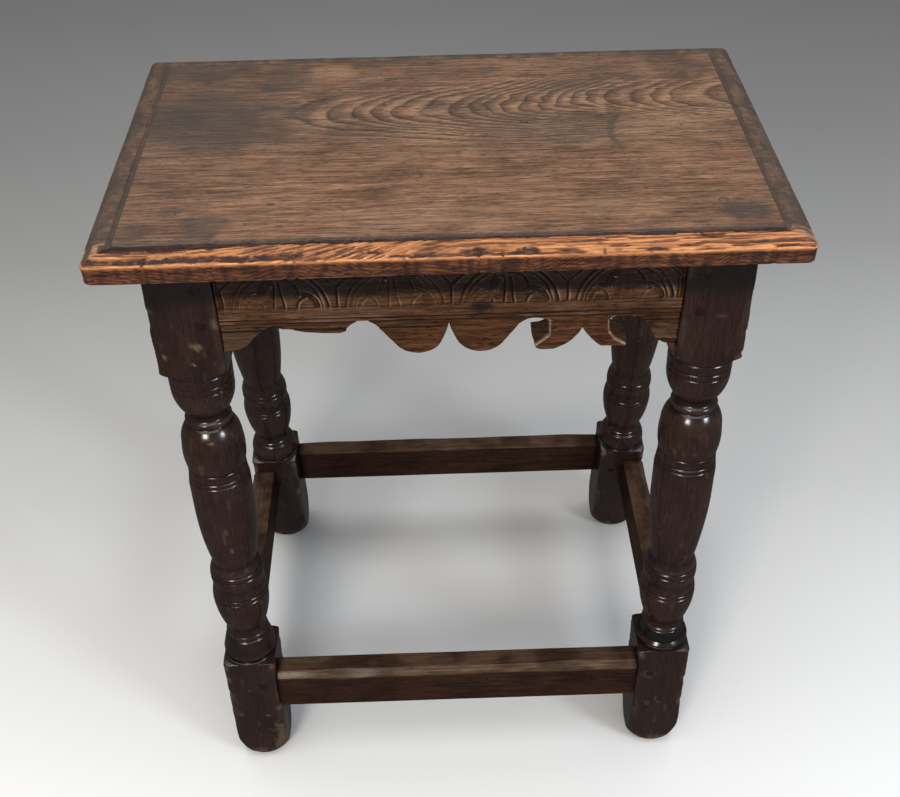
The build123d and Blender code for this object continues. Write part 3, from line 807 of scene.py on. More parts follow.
def apron_edge():
    """Lower edge of the front rail from its left end to its right end, X and height up the rail."""
    return path(
        line((-rail_edge, 5.3), (-147, 6.8)),
        arc((-147, 6.8), (-141.5, 8.6), (-138, 11)),
        arc((-138, 11), (-130, 19.8), (-118, 26.3)),
        line((-118, 26.3), (-116.4, 23.4), (-115, 22.8), (-110, 21.6), (-104, 20.9), (-100, 19.8),
             (-88, 18.6), (-76, 18.1), (-71.5, 19.3)),
        arc((-71.5, 19.3), (-60, 27.6), (-49, 21.8)),
        line((-49, 21.8), (-38, 8)),
        arc((-38, 8), (-23, 0), (-8, 6.8)),
        arc((-8, 6.8), (-4, 15.5), (-1.3, 24.3)),
        arc((-1.3, 24.3), (1.2, 16.5), (5, 8.3)),
        arc((5, 8.3), (20.5, 0), (36, 7.8)),
        line((36, 7.8), (46, 21.3)),
        arc((46, 21.3), (57, 26.2), (66, 23.3)),
        line((66, 23.3), (60, 20.4), (54.3, 19.8), (55, 12), (57, 5)),
        arc((57, 5), (58.5, 1.4), (62, 0.1)),
        line((62, 0.1), (70, 0.1)),
        arc((70, 0.1), (79, 4.4), (89.5, 17.3)),
        arc((89.5, 17.3), (95.5, 8.6), (103, 1.6)),
        line((103, 1.6), (112, 1.2), (120, 0.6), (121, 4), (120.2, 8), (117.5, 16), (112, 19.4),
             (107.3, 21), (109.2, 23.6), (111.5, 25.7), (122, 25.8)),
        arc((122, 25.8), (131.5, 20.5), (137, 12.5)),
        line((137, 12.5), (141, 5.3), (144.5, 3.6), (148.5, 2.2), (149.3, 0), (150.3, -2),
             (152.5, -3), (rail_edge, -2.6)))


def front_depth(x, up):
    """Depth of the front rail's front surface behind its face, its wear with painted highlights, its dirt
    with painted shade and the board's painted shadow, and where it is raw from a split."""
    here = flat(x, up)
    faded = smooth(-18, 6, x) * smooth(128, 122, x)
    moulding = run_moulding(up)
    moulding = np.where(up < lip_top + 0.4, step_in + (moulding - step_in) * (1 - 0.85 * faded),
                        moulding)
    cut, crest = carving(x, up)
    grain = noise(here, (38, 1.3, 1), 91)
    deep = moulding + cut + 0.3 * rough(here, (22, 9, 1), 90) + 0.3 * smooth(0.45, 0.8, grain) + 0.05
    damage = bell(((x - 21) / 9) ** 2 + ((up - 487) / 4.5) ** 2, 1)
    deep = deep + damage * (0.6 + 1.2 * noise(here, 2.5, 92))
    raw = 0
    for corners in splits:
        loop = corners + [0, rail_low]
        gap = distance(pairs(x, up), closed(loop))
        signed = np.where(inside(pairs(x, up), loop), gap, -gap)
        broken = step_in + split_deep + 1.8 * noise(here, (6, 1.6, 1), 93)
        deep = np.maximum(deep, smooth(-0.25, 0.55, signed) * broken)
        raw = np.maximum(raw, bell(signed - 0.1, 0.4))
    left_bracket = smooth(-118, -124, x) * smooth(474, 471, up)
    right_bracket = smooth(124, 130, x) * smooth(471, 467, up)
    furrows = noise(here, (8, 1.6, 1), 97)
    deep = deep + 0.7 * right_bracket * smooth(0.6, 0.35, furrows)

    patchy = smooth(0.38, 0.7, rough(here, (26, 12, 1), 94))
    worn_crest = smooth(0.5, 0, cut) * smooth(0.3, 1.2, up - carving_low)
    band = smooth(frieze_low, frieze_low + 1.2, up) * smooth(carving_low, carving_low - 1, up)
    bead_highlight = bell(up - bead_middle + 0.3, 0.9)
    # painted highlight along the bead's crest
    edge_light = smooth(0.9, 0.1, np.abs(up - frieze_low - 0.4))
    # the pale crests beside the cuts and the bead's crest are painted highlights
    wear_and_highlight = (0.08 * band * (0.5 + patchy) + 0.95 * crest * (0.35 + 0.65 * patchy)
            + (0.12 * worn_crest + 0.35 * bead_highlight + 0.45 * edge_light) * patchy
            + 0.20 * left_bracket + 0.16 * right_bracket * smooth(0.42, 0.62, furrows) + raw)
    over_lip = smooth(1.5, -1.5, up - lip_top + quirk / 2)
    # painted shadow of the board across the upper part of the frieze
    board_shadow = smooth(494, 503, up + 4 * (noise(here, (14, 8, 1), 96) - 0.5))
    # dark in the cuts, brackets and damage, with painted shade in the recesses of the splits, in the quirks
    # and under the frieze's step
    dirt_and_shade = (0.7 * smooth(0.55, 1.2, cut) + 0.85 * board_shadow + 0.8 * damage + 0.4 * left_bracket
            + 0.3 * right_bracket
            + 0.55 * smooth(step_in + 1, step_in + split_deep, deep) * smooth(477, 473, up)
            + 0.9 * smooth(0.3, 0.9, moulding - step_in - 0.1) * (1 - 0.8 * faded * over_lip)
            + 0.85 * smooth(0.4, 0, np.abs(up - (frieze_low + bead_top) / 2))
            + 0.9 * bell(up - frieze_low + 0.6, 0.8) + 0.9 * bell(up - bead_low + 0.5, 0.8)
            + 0.7 * bell(up - lip_top + 0.5, 0.8) * (1 - 0.8 * faded))
    return deep, np.clip(wear_and_highlight, 0, 0.95), np.clip(dirt_and_shade, 0, 0.95), raw


def apron_points(loop, seam):
    """Points inside the apron's outline, closer together at its moulding and along its splits."""
    rows = np.concatenate([np.arange(446, lip_top - 1.6, 0.85), np.arange(lip_top - 1.6, lip_top + 0.7, 0.2),
                           np.arange(bead_low - 1.5, seam - 0.1, 0.2),
                           np.arange(lip_top + 0.8, bead_low - 1.6, 0.85)])
    points = spread(np.arange(-154.5, 155, 0.85), rows)
    for corners in splits:
        outline = closed(corners + [0, rail_low])
        points = points[distance(points, outline) > 0.5]
        dense = line(*outline, step=0.6)[:-1]
        inward = outline[:-1].mean(0) - dense
        inward /= np.linalg.norm(inward, axis=1)[:, None]
        points = np.concatenate([points, dense - 0.22 * inward, dense + 0.35 * inward])
    points = points[inside(points, loop)]
    return points[distance(points, closed(loop)) > 0.3]


def make_front_rail():
    """The front rail: its front surface, a wall round it and its back."""
    seam = bead_low + 0.2    # a grid of points above, the apron's outline filled below
    side = rail_edge * joint_gap
    x_grid = np.linspace(-rail_edge, rail_edge, 690) * joint_gap
    up_grid = np.concatenate([np.arange(seam, frieze_low + 0.8, 0.2),
                              np.arange(frieze_low + 0.8, carving_low - 1.4, 0.6),
                              np.arange(carving_low - 1.4, leg_long, 0.45), [leg_long]])
    rows, columns = len(up_grid), len(x_grid)
    faces = grid_faces(rows, columns)

    edge = apron_edge() * [joint_gap, 1] + [0, rail_low]
    left = line((-side, seam), edge[0], step=0.8)[1:-1]
    right = line(edge[-1], (side, seam), step=0.8)[1:-1]
    lower = np.concatenate([left, edge, right])
    loop = np.concatenate([pairs(x_grid, 0 * x_grid + seam)[::-1], lower])
    inner = apron_points(loop, seam)
    start = rows * columns
    numbers = np.concatenate([np.arange(columns)[::-1], start + np.arange(len(lower) + len(inner))])
    faces += fill(loop, inner, numbers)
    x, up = np.concatenate([spread(x_grid, up_grid), lower, inner]).T
    deep, wear_and_highlight, dirt_and_shade, raw = front_depth(x, up)

    # the outer loop of the front surface: top row, left side, apron, right side
    around = np.concatenate([(rows - 1) * columns + np.arange(columns)[::-1],
                             (np.arange(rows)[::-1] * columns)[1:], start + np.arange(len(lower)),
                             (np.arange(rows) * columns + columns - 1)[:-1]])
    wall_x, wall_up, front = x[around], up[around], deep[around]
    thick = back_depth(wall_x, wall_up)
    cut_edge = np.isin(around, start + np.arange(len(left), len(left) + len(edge)))
    above = around
    start = len(x)
    parts = [(x, up, deep, wear_and_highlight + 0.5 * raw, dirt_and_shade)]
    for share in (0.04, 0.15, 0.35, 0.6, 0.85, 1.0):
        depth = front + (thick - front) * share
        here = np.stack([wall_x, wall_up, depth], -1)
        ragged = np.where(cut_edge, 0.5 * (noise(here, (2.5, 2.5, 3), 95) - 0.5), 0)
        parts.append((wall_x + ragged * (np.abs(wall_x) < rail_edge - 2),
                      wall_up + ragged * (wall_up < leg_long - 2), depth,
                      np.where(cut_edge, 0.25 * (share < 0.1), 0), np.where(cut_edge, 0.35, 0.8)))
        below = start + np.arange(len(around))
        faces += wall_faces(above, below)
        above = below
        start += len(around)

    rim = pairs(*parts[-1][:2])
    spots = spread(np.arange(-153, 154, 3), np.arange(452, leg_long - 2, 3)).astype(float)
    spots = spots[inside(spots, rim)]
    spots = spots[distance(spots, closed(rim)) > 1]
    faces += fill(rim, spots, np.concatenate([above, start + np.arange(len(spots))]))
    x, up = spots.T
    parts.append((x, up, back_depth(x, up), 0 * x, 0 * x + 0.6))
    x, up, deep, wear_and_highlight, dirt_and_shade = (np.concatenate(values) for values in zip(*parts))
    points = raked(x, rail_face - deep, up, -1)
    points[:, 2] = np.minimum(points[:, 2], frame_top)
    wood = np.stack([x + 900, up, deep + 40], -1)
    return add_piece("rail_front", ["rail_front"], points, faces, wood,
                     {"wear_and_highlight": wear_and_highlight, "dirt_and_shade": np.clip(dirt_and_shade, 0, 0.95)}, rail_oak)


make_front_rail()


# ------------------------------------------------------------------ board
def edge_profile():
    """How far the top of the board lies below its field, by distance in from the edge."""
    return path(
        arc((0, arris_drop), (5.8, 2.4), (hollow_out, crest_drop), step=0.3),
        arc((hollow_out, crest_drop), (border - 2.8, hollow_deep), (border - 0.8, 1.4), step=0.3),
        line((border - 0.8, 1.4), (border, 0), step=0.3))


# where the tips of the growth rings cross the middle of their arches, X
arch_tips = (-200, -150, -108, -84, -68, -52, -34, -14, 4, 19, 32, 45, 58, 73, 86, 98, 109, 123, 141, 155,
             170, 198, 224, 246)
ring_gap = 22         # between rings beyond the first and the last tip
ring_number = 40      # of the first tip
board_grain = 300     # where the board lies in the wood, along its grain


def arch_middle(x):
    """Y of the middle of the arches."""
    return np.interp(x, (-120, 20, 70, 112, 200), (38, 37.5, 42, 50, 51))


def board_rings(x, y):
    """Growth rings cut by the top of the board: arches that point left."""
    here = flat(x, y)
    rise = y - arch_middle(x) + 4 * (noise(here, (26, 16, 1), 101) - 0.5)
    open_up = np.where(rise > 0, 0.040, 0.088)
    tip = (x - open_up * rise**2 + 9 * (noise(here, (30, 12, 1), 102) - 0.5)
           + 4 * (noise(here, (9, 5, 1), 103) - 0.5))
    beyond = np.clip(tip - arch_tips[-1], 0, None) + np.clip(tip - arch_tips[0], None, 0)
    return np.interp(tip, arch_tips, np.arange(len(arch_tips))) + beyond / ring_gap + ring_number


# marks of the board: x, y, half length, half width, strength
dark_marks = [
    (190, -104, 18, 11, 0.7), (-156, -106, 17, 14, 0.6), (-182, 36, 10, 6, 0.6), (-190, 47, 17, 3, 0.5),
    (-178, 100, 14, 13, 0.35), (-105, 100, 7, 26, 0.3), (-116, -82, 3, 2.2, 0.8),
    (-133, -60, 3, 1.6, 0.7), (-17, -52, 1.6, 3.4, 0.7), (66, 93, 1.6, 2.4, 0.7), (163, 112, 4, 1.6, 0.7),
    (-130, 50, 4, 3, 0.6), (-110, 57, 5, 2.4, 0.6), (-28, 100, 2, 1.2, 0.6), (131, -74, 2.6, 1.5, 0.7),
    (33, -76, 1.8, 1.8, 0.6), (73, -50, 3, 1.6, 0.6), (-60, 120, 20, 10, 0.3), (35, 102, 10, 7, 0.35),
    (143, 82, 8, 6, 0.3), (183, 85, 7, 8, 0.4), (-181, -88, 8, 7, 0.5), (-40, 85, 5, 8, 0.25),
    (-115, 110, 10, 14, 0.22), (-198, -110, 12, 10, 0.4), (-118, -28, 6, 5, 0.35), (77, -20, 2, 4, 0.35),
    (28, 47, 2.2, 5, 0.45), (70, 34, 5, 2, 0.4)]
grey_patches = [
    (75, 8, 58, 26, 0.30), (88, 74, 30, 15, 0.22), (-122, 92, 15, 36, 0.34), (-50, 118, 22, 9, 0.34),
    (-160, 34, 72, 46, 0.36), (-60, 8, 50, 14, 0.16), (20, 50, 30, 22, 0.12), (188, 98, 30, 20, 0.26)]
warm_patches = [
    (-85, 103, 18, 15, 0.34), (-15, 38, 16, 5, 0.30), (116, 42, 6, 11, 0.40), (-70, 52, 14, 14, 0.14),
    (180, 55, 14, 12, 0.14), (165, 0, 30, 22, 0.12), (40, 112, 60, 10, 0.12), (38, 40, 5, 8, 0.2),
    (0, -100, 90, 16, 0.16), (100, -95, 60, 14, 0.14)]
scratch_line = arc((127, 28), (118.5, 8), (123, -22))
crack_line = np.array([(-231, -73), (-215, -70), (-200, -66.5), (-188, -67)])
hole_x, hole_y = 58, 19
edge_nicks = [  # x, half width, depth
    (-104, 3.2, 1.3), (-97, 0.9, 3.2), (-29, 0.8, 2.6), (17.5, 0.8, 2.2), (32.5, 0.9, 2.6),
    (47, 2.4, 0.8), (125, 0.8, 2.2), (-60, 4.0, 0.9), (66, 3.0, 0.8), (-150, 3.0, 1.0), (160, 2.2, 0.8),
    (-191, 1.2, 1.8), (96, 1.0, 1.4), (205, 2.5, 1.1)]


def field_marks(x, y, here):
    """Depth and dirt of the dark marks, the curved scratch, the square hole and the crack."""
    sink, dirt_and_shade = 0, 0
    for mark_x, mark_y, long, wide, strength in dark_marks:
        reach = np.hypot((x - mark_x) / long, (y - mark_y) / wide)
        ragged = reach + 0.5 * (noise(here, max(2.0, min(long, wide) * 0.6), 113) - 0.5)
        dirt_and_shade = np.maximum(dirt_and_shade, strength * smooth(1.25, 0.6, ragged))
        if max(long, wide) < 6:
            sink = sink + 0.35 * smooth(1.2, 0.3, ragged)
    scratch = distance(pairs(x, y), scratch_line) / (1.0 + 3.0 * noise(here, 9, 114))
    hole = np.maximum(np.abs(x - hole_x) / 2.6, np.abs(y - hole_y) / 2.1)
    crack = distance(pairs(x, y), crack_line)
    sink = (sink + 0.4 * smooth(1.2, 0.2, scratch) + 1.8 * smooth(1.1, 0.8, hole)
            + 1.3 * smooth(0.9, 0.1, crack))
    for strength, gap, pale, dark in ((0.55, scratch, 1.0, 0.5), (1, hole, 1.15, 0.95), (1, crack, 1.1, 0.3)):
        dirt_and_shade = np.maximum(dirt_and_shade, strength * smooth(pale, dark, gap))
    return sink, dirt_and_shade


def border_marks(x, y, here, inset, in_border, front):
    """Depth, wear and dirt of the moulded edge: dark hollow, worn ovolo, dark slope and bright arris, with
    painted glints and painted shade on the slope and painted sheen greying the side borders;
    and how far the grain of the front edge leans."""
    wander = 2.2 * (rough(here, 24, 115) - 0.5) + 1.3 * (noise(here, (2.2, 30, 1), 126) - 0.5)
    widen = (3.4 * smooth(-120, -175, x) + 1.2 * smooth(-20, -100, x) - 0.8) * (y < -half_wide + border)
    hollow = smooth(hollow_out - 0.2, hollow_out + 0.9, inset + wander + widen) * in_border
    slope = smooth(6.2, 4.6, inset + 1.6 * wander) * smooth(0.8, 1.8, inset + 0.4 * wander)
    slope = slope * (1 - smooth(-102, -84, x) * smooth(0.72, 0.52, noise(here, (16, 4, 1), 128)))
    arris = smooth(1.6, 0.5, inset + 1.6 * (noise(here, (3.5, 30, 1), 127) - 0.5))
    ovolo = in_border * (1 - hollow) * (1 - slope)
    tilt = flat(x + 1.2 * y, y - grain_rise(x))
    leaning = smooth(20, -40, x) * smooth(-190, -150, x)
    furrow = (smooth(0.48, 0.62, noise(here, (15, 1.0, 1), 116)) * (1 - leaning)
              + smooth(0.48, 0.62, noise(tilt, (15, 1.0, 1), 117)) * leaning)
    sink = (front * (0.75 * furrow + 0.5 * rough(here, 4, 118)) * smooth(0.2, 2, inset)
            + in_border * 0.35 * rough(here, 5, 119))
    fine = noise(here, (16, 0.9, 1), 141) * (1 - leaning) + noise(tilt, (16, 0.9, 1), 142) * leaning
    # painted glints on the outer slope of the front edge
    glints = smooth(0.62, 0.72, noise(here, (2.6, 0.9, 1), 135)) * slope
    front_wear_and_glints = front * np.clip(ovolo * (0.72 - 0.50 * furrow) + 0.9 * arris + 0.6 * glints, 0, 1)
    front_wear_and_glints = front_wear_and_glints * (0.45 + 0.9 * fine) * (0.72 + 0.4 * rough(here, 20, 121))
    side_wear = ((in_border - front) * (0.14 * ovolo + 0.30 * arris)
                 * smooth(0.45, 0.7, rough(here, (3, 14, 1), 120)))
    # dark hollow, and painted shade on the outer slope of the edge
    dirt_and_shade = np.maximum(0.85 * hollow, 0.8 * slope) * (0.7 + 0.5 * rough(here, 9, 122))
    blotchy = smooth(0.36, 0.62, rough(here, (6, 10, 1), 125))
    # side borders darker and greyer: partly dirt, partly painted sheen
    dirt_and_shade = np.maximum(dirt_and_shade, (in_border - front) * (0.60 + 0.25 * blotchy))
    pits = smooth(0.70, 0.78, noise(here, (5.5, 1.2, 1), 136))
    dirt_and_shade = np.maximum(dirt_and_shade, front * (0.45 * furrow + 0.4 * pits) * (1 - arris))
    return sink, np.clip(front_wear_and_glints + side_wear, 0, 1), np.clip(dirt_and_shade, 0, 0.95), leaning


def grain_rise(x):
    """How far the leaning grain of the front edge has risen at this X."""
    return 0.26 * x + 6 * np.sin((x + 40) / 45)


def patch(x, y, here, in_border, patches):
    """How far each of these patches of the field shows."""
    ragged = 1.0 * (rough(here, (44, 8, 1), 134) - 0.5)
    for at_x, at_y, long, wide, strength in patches:
        reach = np.hypot((x - at_x) / long, (y - at_y) / wide) + ragged
        yield strength * smooth(1.25, 0.45, reach) * (1 - in_border)


def grey_tone(x, y, here, in_border):
    """How grey the field is."""
    tone = (0.06 + 0.08 * bell(y + 5, 38) + 0.10 * smooth(-40, 60, y)
            + 0.12 * smooth(150, -230, x - y) * smooth(-60, 40, y))
    cloud = rough(here, (60, 34, 1), 124)
    return (tone + sum(patch(x, y, here, in_border, grey_patches)) + 0.22 * smooth(-90, -190, x)
            + 0.26 * smooth(0.50, 0.72, cloud) * smooth(20, 80, y)
            + 0.16 * smooth(130, 200, x) * np.maximum(smooth(60, 100, y), smooth(-60, -100, y)))


def ring_figure(x, y, here, in_border):
    """How strongly the growth rings show."""
    arm_end = np.interp(x, (-110, -20, 50, 110, 200), (62, 70, 84, 80, 76))
    figure = (0.08 + 0.92 * smooth(-24, -2, y)) * (0.05 + 0.95 * smooth(arm_end + 10, arm_end - 10, y))
    figure = figure * (0.25 + 0.75 * smooth(-122, -104, x - 0.05 * (y - 38) ** 2 * (y < 38)))
    return figure * (0.65 + 0.5 * rough(here, (40, 20, 1), 129)) * (1 - 0.6 * in_border)


def worn_outline(x, y, here):
    """The board's outline, worn in by up to a millimetre, nicked along the front and rounded at
    its corners: X, Y, depth of the nicks and their dirt."""
    from_end, from_side = half_long - np.abs(x), half_wide - np.abs(y)
    pull = 0.05 + 0.6 * rough(here * [1, 1, 0] + 7, 40, 123)
    pull = pull * smooth(border, 0, np.minimum(from_end, from_side))
    at_x = x - np.sign(x) * pull * smooth(border, 0, from_end)
    at_y = y - np.sign(y) * pull * smooth(border, 0, from_side)
    sink, dirt_and_shade = 0, 0
    for nick_x, wide, deep in edge_nicks:
        off = np.abs(x - nick_x) / wide
        nick = smooth(1.0, 0.15, off) * smooth(-half_wide + 3.5 * deep, -half_wide, y)
        at_y = at_y + deep * 0.7 * nick
        sink = sink + deep * 0.6 * nick
        if wide < 1.5:
            dirt_and_shade = np.maximum(dirt_and_shade, 0.9 * smooth(1.0, 0.3, off) * smooth(-half_wide + 6, -half_wide + 2, y))
    long, wide = (np.clip(corner_round - gap, 0, None) for gap in (from_end, from_side))
    turn_in = 1 - np.maximum(long, wide) / (np.hypot(long, wide) + 1e-9)
    return at_x - np.sign(x) * long * turn_in, at_y - np.sign(y) * wide * turn_in, sink, dirt_and_shade


def board_surface(x, y):
    """Top of the board: place, place in the wood, wear with painted glints, dirt with painted shade and
    sheen, figure and rings of each point.
    """
    here = flat(x, y)
    inset = np.minimum(half_long - np.abs(x), half_wide - np.abs(y))
    profile = edge_profile()
    in_border = smooth(border + 0.3, border - 0.3, inset)
    front = smooth(-(half_wide - border - 2), -(half_wide - border), y) * in_border
    rings = board_rings(x, y)
    early = 1 - smooth(0.0, 0.16, np.abs(((rings + 0.32) % 1) - 0.5))
    mark_sink, dirt_and_shade = field_marks(x, y, here)
    border_sink, border_wear_and_glints, border_dirt_shade_and_sheen, leaning = border_marks(x, y, here, inset, in_border, front)
    at_x, at_y, nick_sink, nick_dirt = worn_outline(x, y, here)
    sink = (0.12 + 0.35 * rough(here, 60, 110) + 0.16 * rough(here, 7, 111)
            + 0.20 * smooth(0.55, 0.85, noise(here, (46, 1.5, 1), 112))
            + 0.25 * early * smooth(-24, -2, y) * smooth(100, 85, y) * (1 - in_border)
            + mark_sink + border_sink + nick_sink)
    z = height - np.interp(inset, profile[:, 0], profile[:, 1]) - np.minimum(sink, 3)
    wear_and_highlight = border_wear_and_glints
    for amount in patch(x, y, here, in_border, warm_patches):
        wear_and_highlight = np.maximum(wear_and_highlight, amount)
    dirt_and_shade = np.maximum(dirt_and_shade * (1 - in_border), border_dirt_shade_and_sheen)
    dirt_and_shade = np.maximum(dirt_and_shade, 0.8 * smooth(1.0, 0.1, np.abs(inset - border + 0.4)))
    dirt_and_shade = np.clip(dirt_and_shade + grey_tone(x, y, here, in_border) * (1 - dirt_and_shade) * (1 - in_border), 0, 0.97)
    wood = np.stack([x + board_grain, y - front * leaning * grain_rise(x), z], -1)
    return (np.stack([at_x, at_y, z], -1), wood, wear_and_highlight, np.maximum(dirt_and_shade, nick_dirt),
            ring_figure(x, y, here, in_border), rings)


def spaced(stops):
    """Places with a given step between each pair of stops."""
    parts = [np.linspace(a, b, max(1, round(abs(b - a) / step)), endpoint=False)
             for (a, step), (b, _) in zip(stops, stops[1:])]
    return np.concatenate(parts + [[stops[-1][0]]])


def edge_sections(arris_z, droop):
    """How far in and at what height the board's edge runs, from its arris down and round."""
    foot = under_top + lower_round - droop
    sections = [(0.0, arris_z - 0.35 - step * (arris_z - 0.35 - foot) / 10) for step in range(11)]
    for swing in np.linspace(0, pi / 2, 6)[1:]:
        sections.append((lower_round * (1 - cos(swing)), foot - lower_round * sin(swing)))
    return sections


def make_board():
    """The board: its top surface, rings of points down its edge, and its underside."""
    inner_x, inner_y = half_long - border - 1, half_wide - border - 1
    xs = spaced([(-half_long, 0.5), (-inner_x, 1.0), (inner_x, 0.5), (half_long, 0)])
    ys = spaced([(-half_wide, 0.45), (-inner_y, 0.95), (inner_y, 0.7), (half_wide, 0)])
    x, y = np.meshgrid(xs, ys)
    points, wood, wear_and_highlight, dirt_and_shade, figure, rings = board_surface(x, y)
    rows, columns = x.shape
    faces = grid_faces(rows, columns)
    index = np.arange(rows * columns).reshape(rows, columns)
    loop = np.concatenate([index[0, :-1], index[:-1, -1], index[-1, :0:-1], index[:0:-1, 0]])
    layers = [points.reshape(-1, 3)]
    marks = [(wear_and_highlight.ravel(), dirt_and_shade.ravel(), figure.ravel(), rings.ravel())]

    arris_x, arris_y, arris_z = layers[0][loop].T
    loop_x, loop_y = spread(xs, ys)[loop].T
    at_end = np.abs(loop_x) > half_long - 1e-6
    end_grain = at_end & ~(np.abs(loop_y) > half_wide - 1e-6)
    facing = (loop_y < -half_wide + 1e-6) * 1.0
    # the board is a little thicker along the left of its front edge
    droop = (0.5 + 1.5 * smooth(160, -200, loop_x)) * smooth(22 - half_wide, -half_wide, loop_y)
    above = loop
    for number, (inward, z) in enumerate(edge_sections(arris_z, droop)):
        here = np.stack([arris_x, arris_y, z], -1)
        grain = noise(here, (30, 30, 1.2), 130)
        dent = 0.35 * rough(here, (16, 16, 4), 131) + np.where(end_grain, 0.1, 0.25) * grain
        inset = inward + dent * min(1, number / 2)
        layers.append(here * np.stack([1 - inset / half_long, 1 - inset / half_wide, 1 + 0 * z], -1))
        arris = smooth(2.5, 0, arris_z - z)
        edge_wear = 0.75 * arris * facing + facing * 0.06 * smooth(0.35, 0.7, noise(here, (9, 9, 5), 132))
        edge_dirt = (0.36 + 0.4 * smooth(0.4, 0.8, noise(here, (3, 3, 9), 133)) - 0.6 * arris * facing
                     + 0.35 * (1 - facing))
        marks.append((np.clip(edge_wear, 0, 1), np.clip(edge_dirt, 0, 0.9), 0.3 + 0 * z,
                      board_rings(arris_x, arris_y) + z / 3))
        below = rows * columns + number * len(loop) + np.arange(len(loop))
        faces += wall_faces(above, below)
        above = below

    inner = spread(np.arange(-220, 221, 11), np.arange(-132, 133, 11))
    inner = inner[(np.abs(inner[:, 0]) < half_long - 6) & (np.abs(inner[:, 1]) < half_wide - 6)]
    start = sum(len(layer) for layer in layers)
    numbers = np.concatenate([above, start + np.arange(len(inner))])
    faces += fill(layers[-1][:, :2], inner.astype(float), numbers)
    layers.append(np.concatenate([inner, np.full((len(inner), 1), under_top)], -1))
    nothing = 0 * inner[:, 0]
    marks.append((nothing, nothing + 0.3, nothing + 0.5, board_rings(*inner.T)))
    points = np.concatenate(layers)
    wood = np.concatenate([wood.reshape(-1, 3), points[rows * columns:] + [board_grain, 0, 0]])
    wear_and_highlight, dirt_and_shade, figure, rings = (np.concatenate(values) for values in zip(*marks))
    board = add_piece("top_board", ["top_board"], points, faces, wood,
                      {"wear_and_highlight": wear_and_highlight, "dirt_and_shade": dirt_and_shade, "figure": figure, "rings": rings}, top_oak)
    board.data.materials.append(edge_oak)
    for face in board.data.polygons:
        middle = face.center / MM
        from_front, from_side = half_wide + middle.y, half_long - abs(middle.x)
        front_edge = from_front < min(border - 0.6, from_side)
        face.material_index = 1 if front_edge and middle.z > under_top + 0.1 else 0
    return board


make_board()


# ------------------------------------------------------------------ pegs
peg_sides = 28
peg_clear = 0.12      # how much less the radius is than the CAD's
peg_long = 12         # how far below the board's top its pegs are made
peg_under = 0.05      # how far inside the CAD's an end that shows stops
peg_back = 0.1        # and an end on a leg's inner face


def peg_shape(start, end, seed):
    """Points of a riven peg from start to end, ring by ring, its end faces a little domed."""
    generator = np.random.default_rng(SEED + seed)
    swing = np.linspace(0, 2 * pi, peg_sides, endpoint=False)
    shape = (1 + 0.05 * np.sin(2 * swing + generator.uniform(0, 6))
             + 0.035 * np.cos(5 * swing + generator.uniform(0, 6)))
    shape = shape / shape.max() * (peg_r - peg_clear)
    long = np.linalg.norm(end - start)
    axis = Vector(end - start).normalized()
    side = axis.orthogonal().normalized()
    axis, side, other = (np.array(v) for v in (axis, side, axis.cross(side)))
    across = (side * np.cos(swing)[:, None] + other * np.sin(swing)[:, None]) * shape[:, None]
    dome = [(0.0, 0.05), (0.02, 0.5), (0.15, 0.85), (0.45, 1.0)]
    stops = dome + [(long - along, share) for along, share in dome[::-1]]
    return [start + axis * along + across * share for along, share in stops]


def make_pegs(name, ends, seed, material=peg_oak):
    """A group of pegs, each from one place to another."""
    points, faces = [], []
    for number, (start, end) in enumerate(ends):
        rings = peg_shape(np.array(start), np.array(end), seed + number)
        first = len(points) * peg_sides
        faces += [[i + first for i in face] for face in tube_faces(len(rings), peg_sides)]
        points += rings
    points = np.concatenate(points)
    return add_piece(name, [name], points, faces, points[:, ::-1] + 5 * seed,
                     {"wear_and_highlight": 0.1, "dirt_and_shade": 0.2}, material)


top_pegs = [[(sx * leg_x, sy * leg_top_y, height - down) for down in (peg_under, peg_long)]
            for sx in (-1, 1) for sy in (-1, 1)]
make_pegs("pegs_top", top_pegs, 200, top_peg_oak)

# across the legs' fronts and backs, then across their sides a little lower or higher
rail_ups = [leg_long - drop for drop in rail_peg_drops]
for seed, (name, sy) in enumerate(sides_y.items()):
    for bar, ups, block_half in (("rail", rail_ups, half),
                                 ("stretcher", [stretcher_mid + stretcher_peg_rise], foot_half)):
        x = leg_x - block_half + peg_inset
        outs = (peg_back - block_half, block_half + peg_proud - peg_under)
        ends = [tuple(raked(np.array(sx * x), np.array(out), np.array(up), sy) for out in outs)
                for sx in (-1, 1) for up in ups]
        make_pegs(f"pegs_{bar}_{name}", ends, 210 + 10 * seed)
rail_ups = [under_top - drop - peg_stagger for drop in rail_peg_drops]
for seed, (name, sx) in enumerate(sides_x.items()):
    for bar, ups, block_half in (("rail", rail_ups, half),
                                 ("stretcher", [stretcher_mid - stretcher_peg_rise], foot_half)):
        xs = (leg_x - block_half + peg_back, leg_x + block_half + peg_proud - peg_under)
        ends = [[(sx * x, sy * (leg_y(up) + (peg_inset - block_half) / level), up) for x in xs]
                for sy in (-1, 1) for up in ups]
        make_pegs(f"pegs_{bar}_{name}", ends, 240 + 10 * seed)


# ------------------------------------------------------------------ stage, light and camera
# painted shade of the floor: its colour by distance from the stool towards the back, in metres, darkening
# away from the front in place of the light's fall-off
floor_painted_shades = [(-1.0, 0.28), (-0.35, 0.72), (-0.19, 0.72), (0.005, 0.615), (0.176, 0.49), (0.387, 0.405),
                (0.656, 0.302), (1.011, 0.248), (1.5, 0.215)]
floor_front, floor_back, floor_side = -3, 9, 6
lamp_size = (0.42, 0.42)
stool_middle = (0, 0, 0.35)
world_light = 0.14


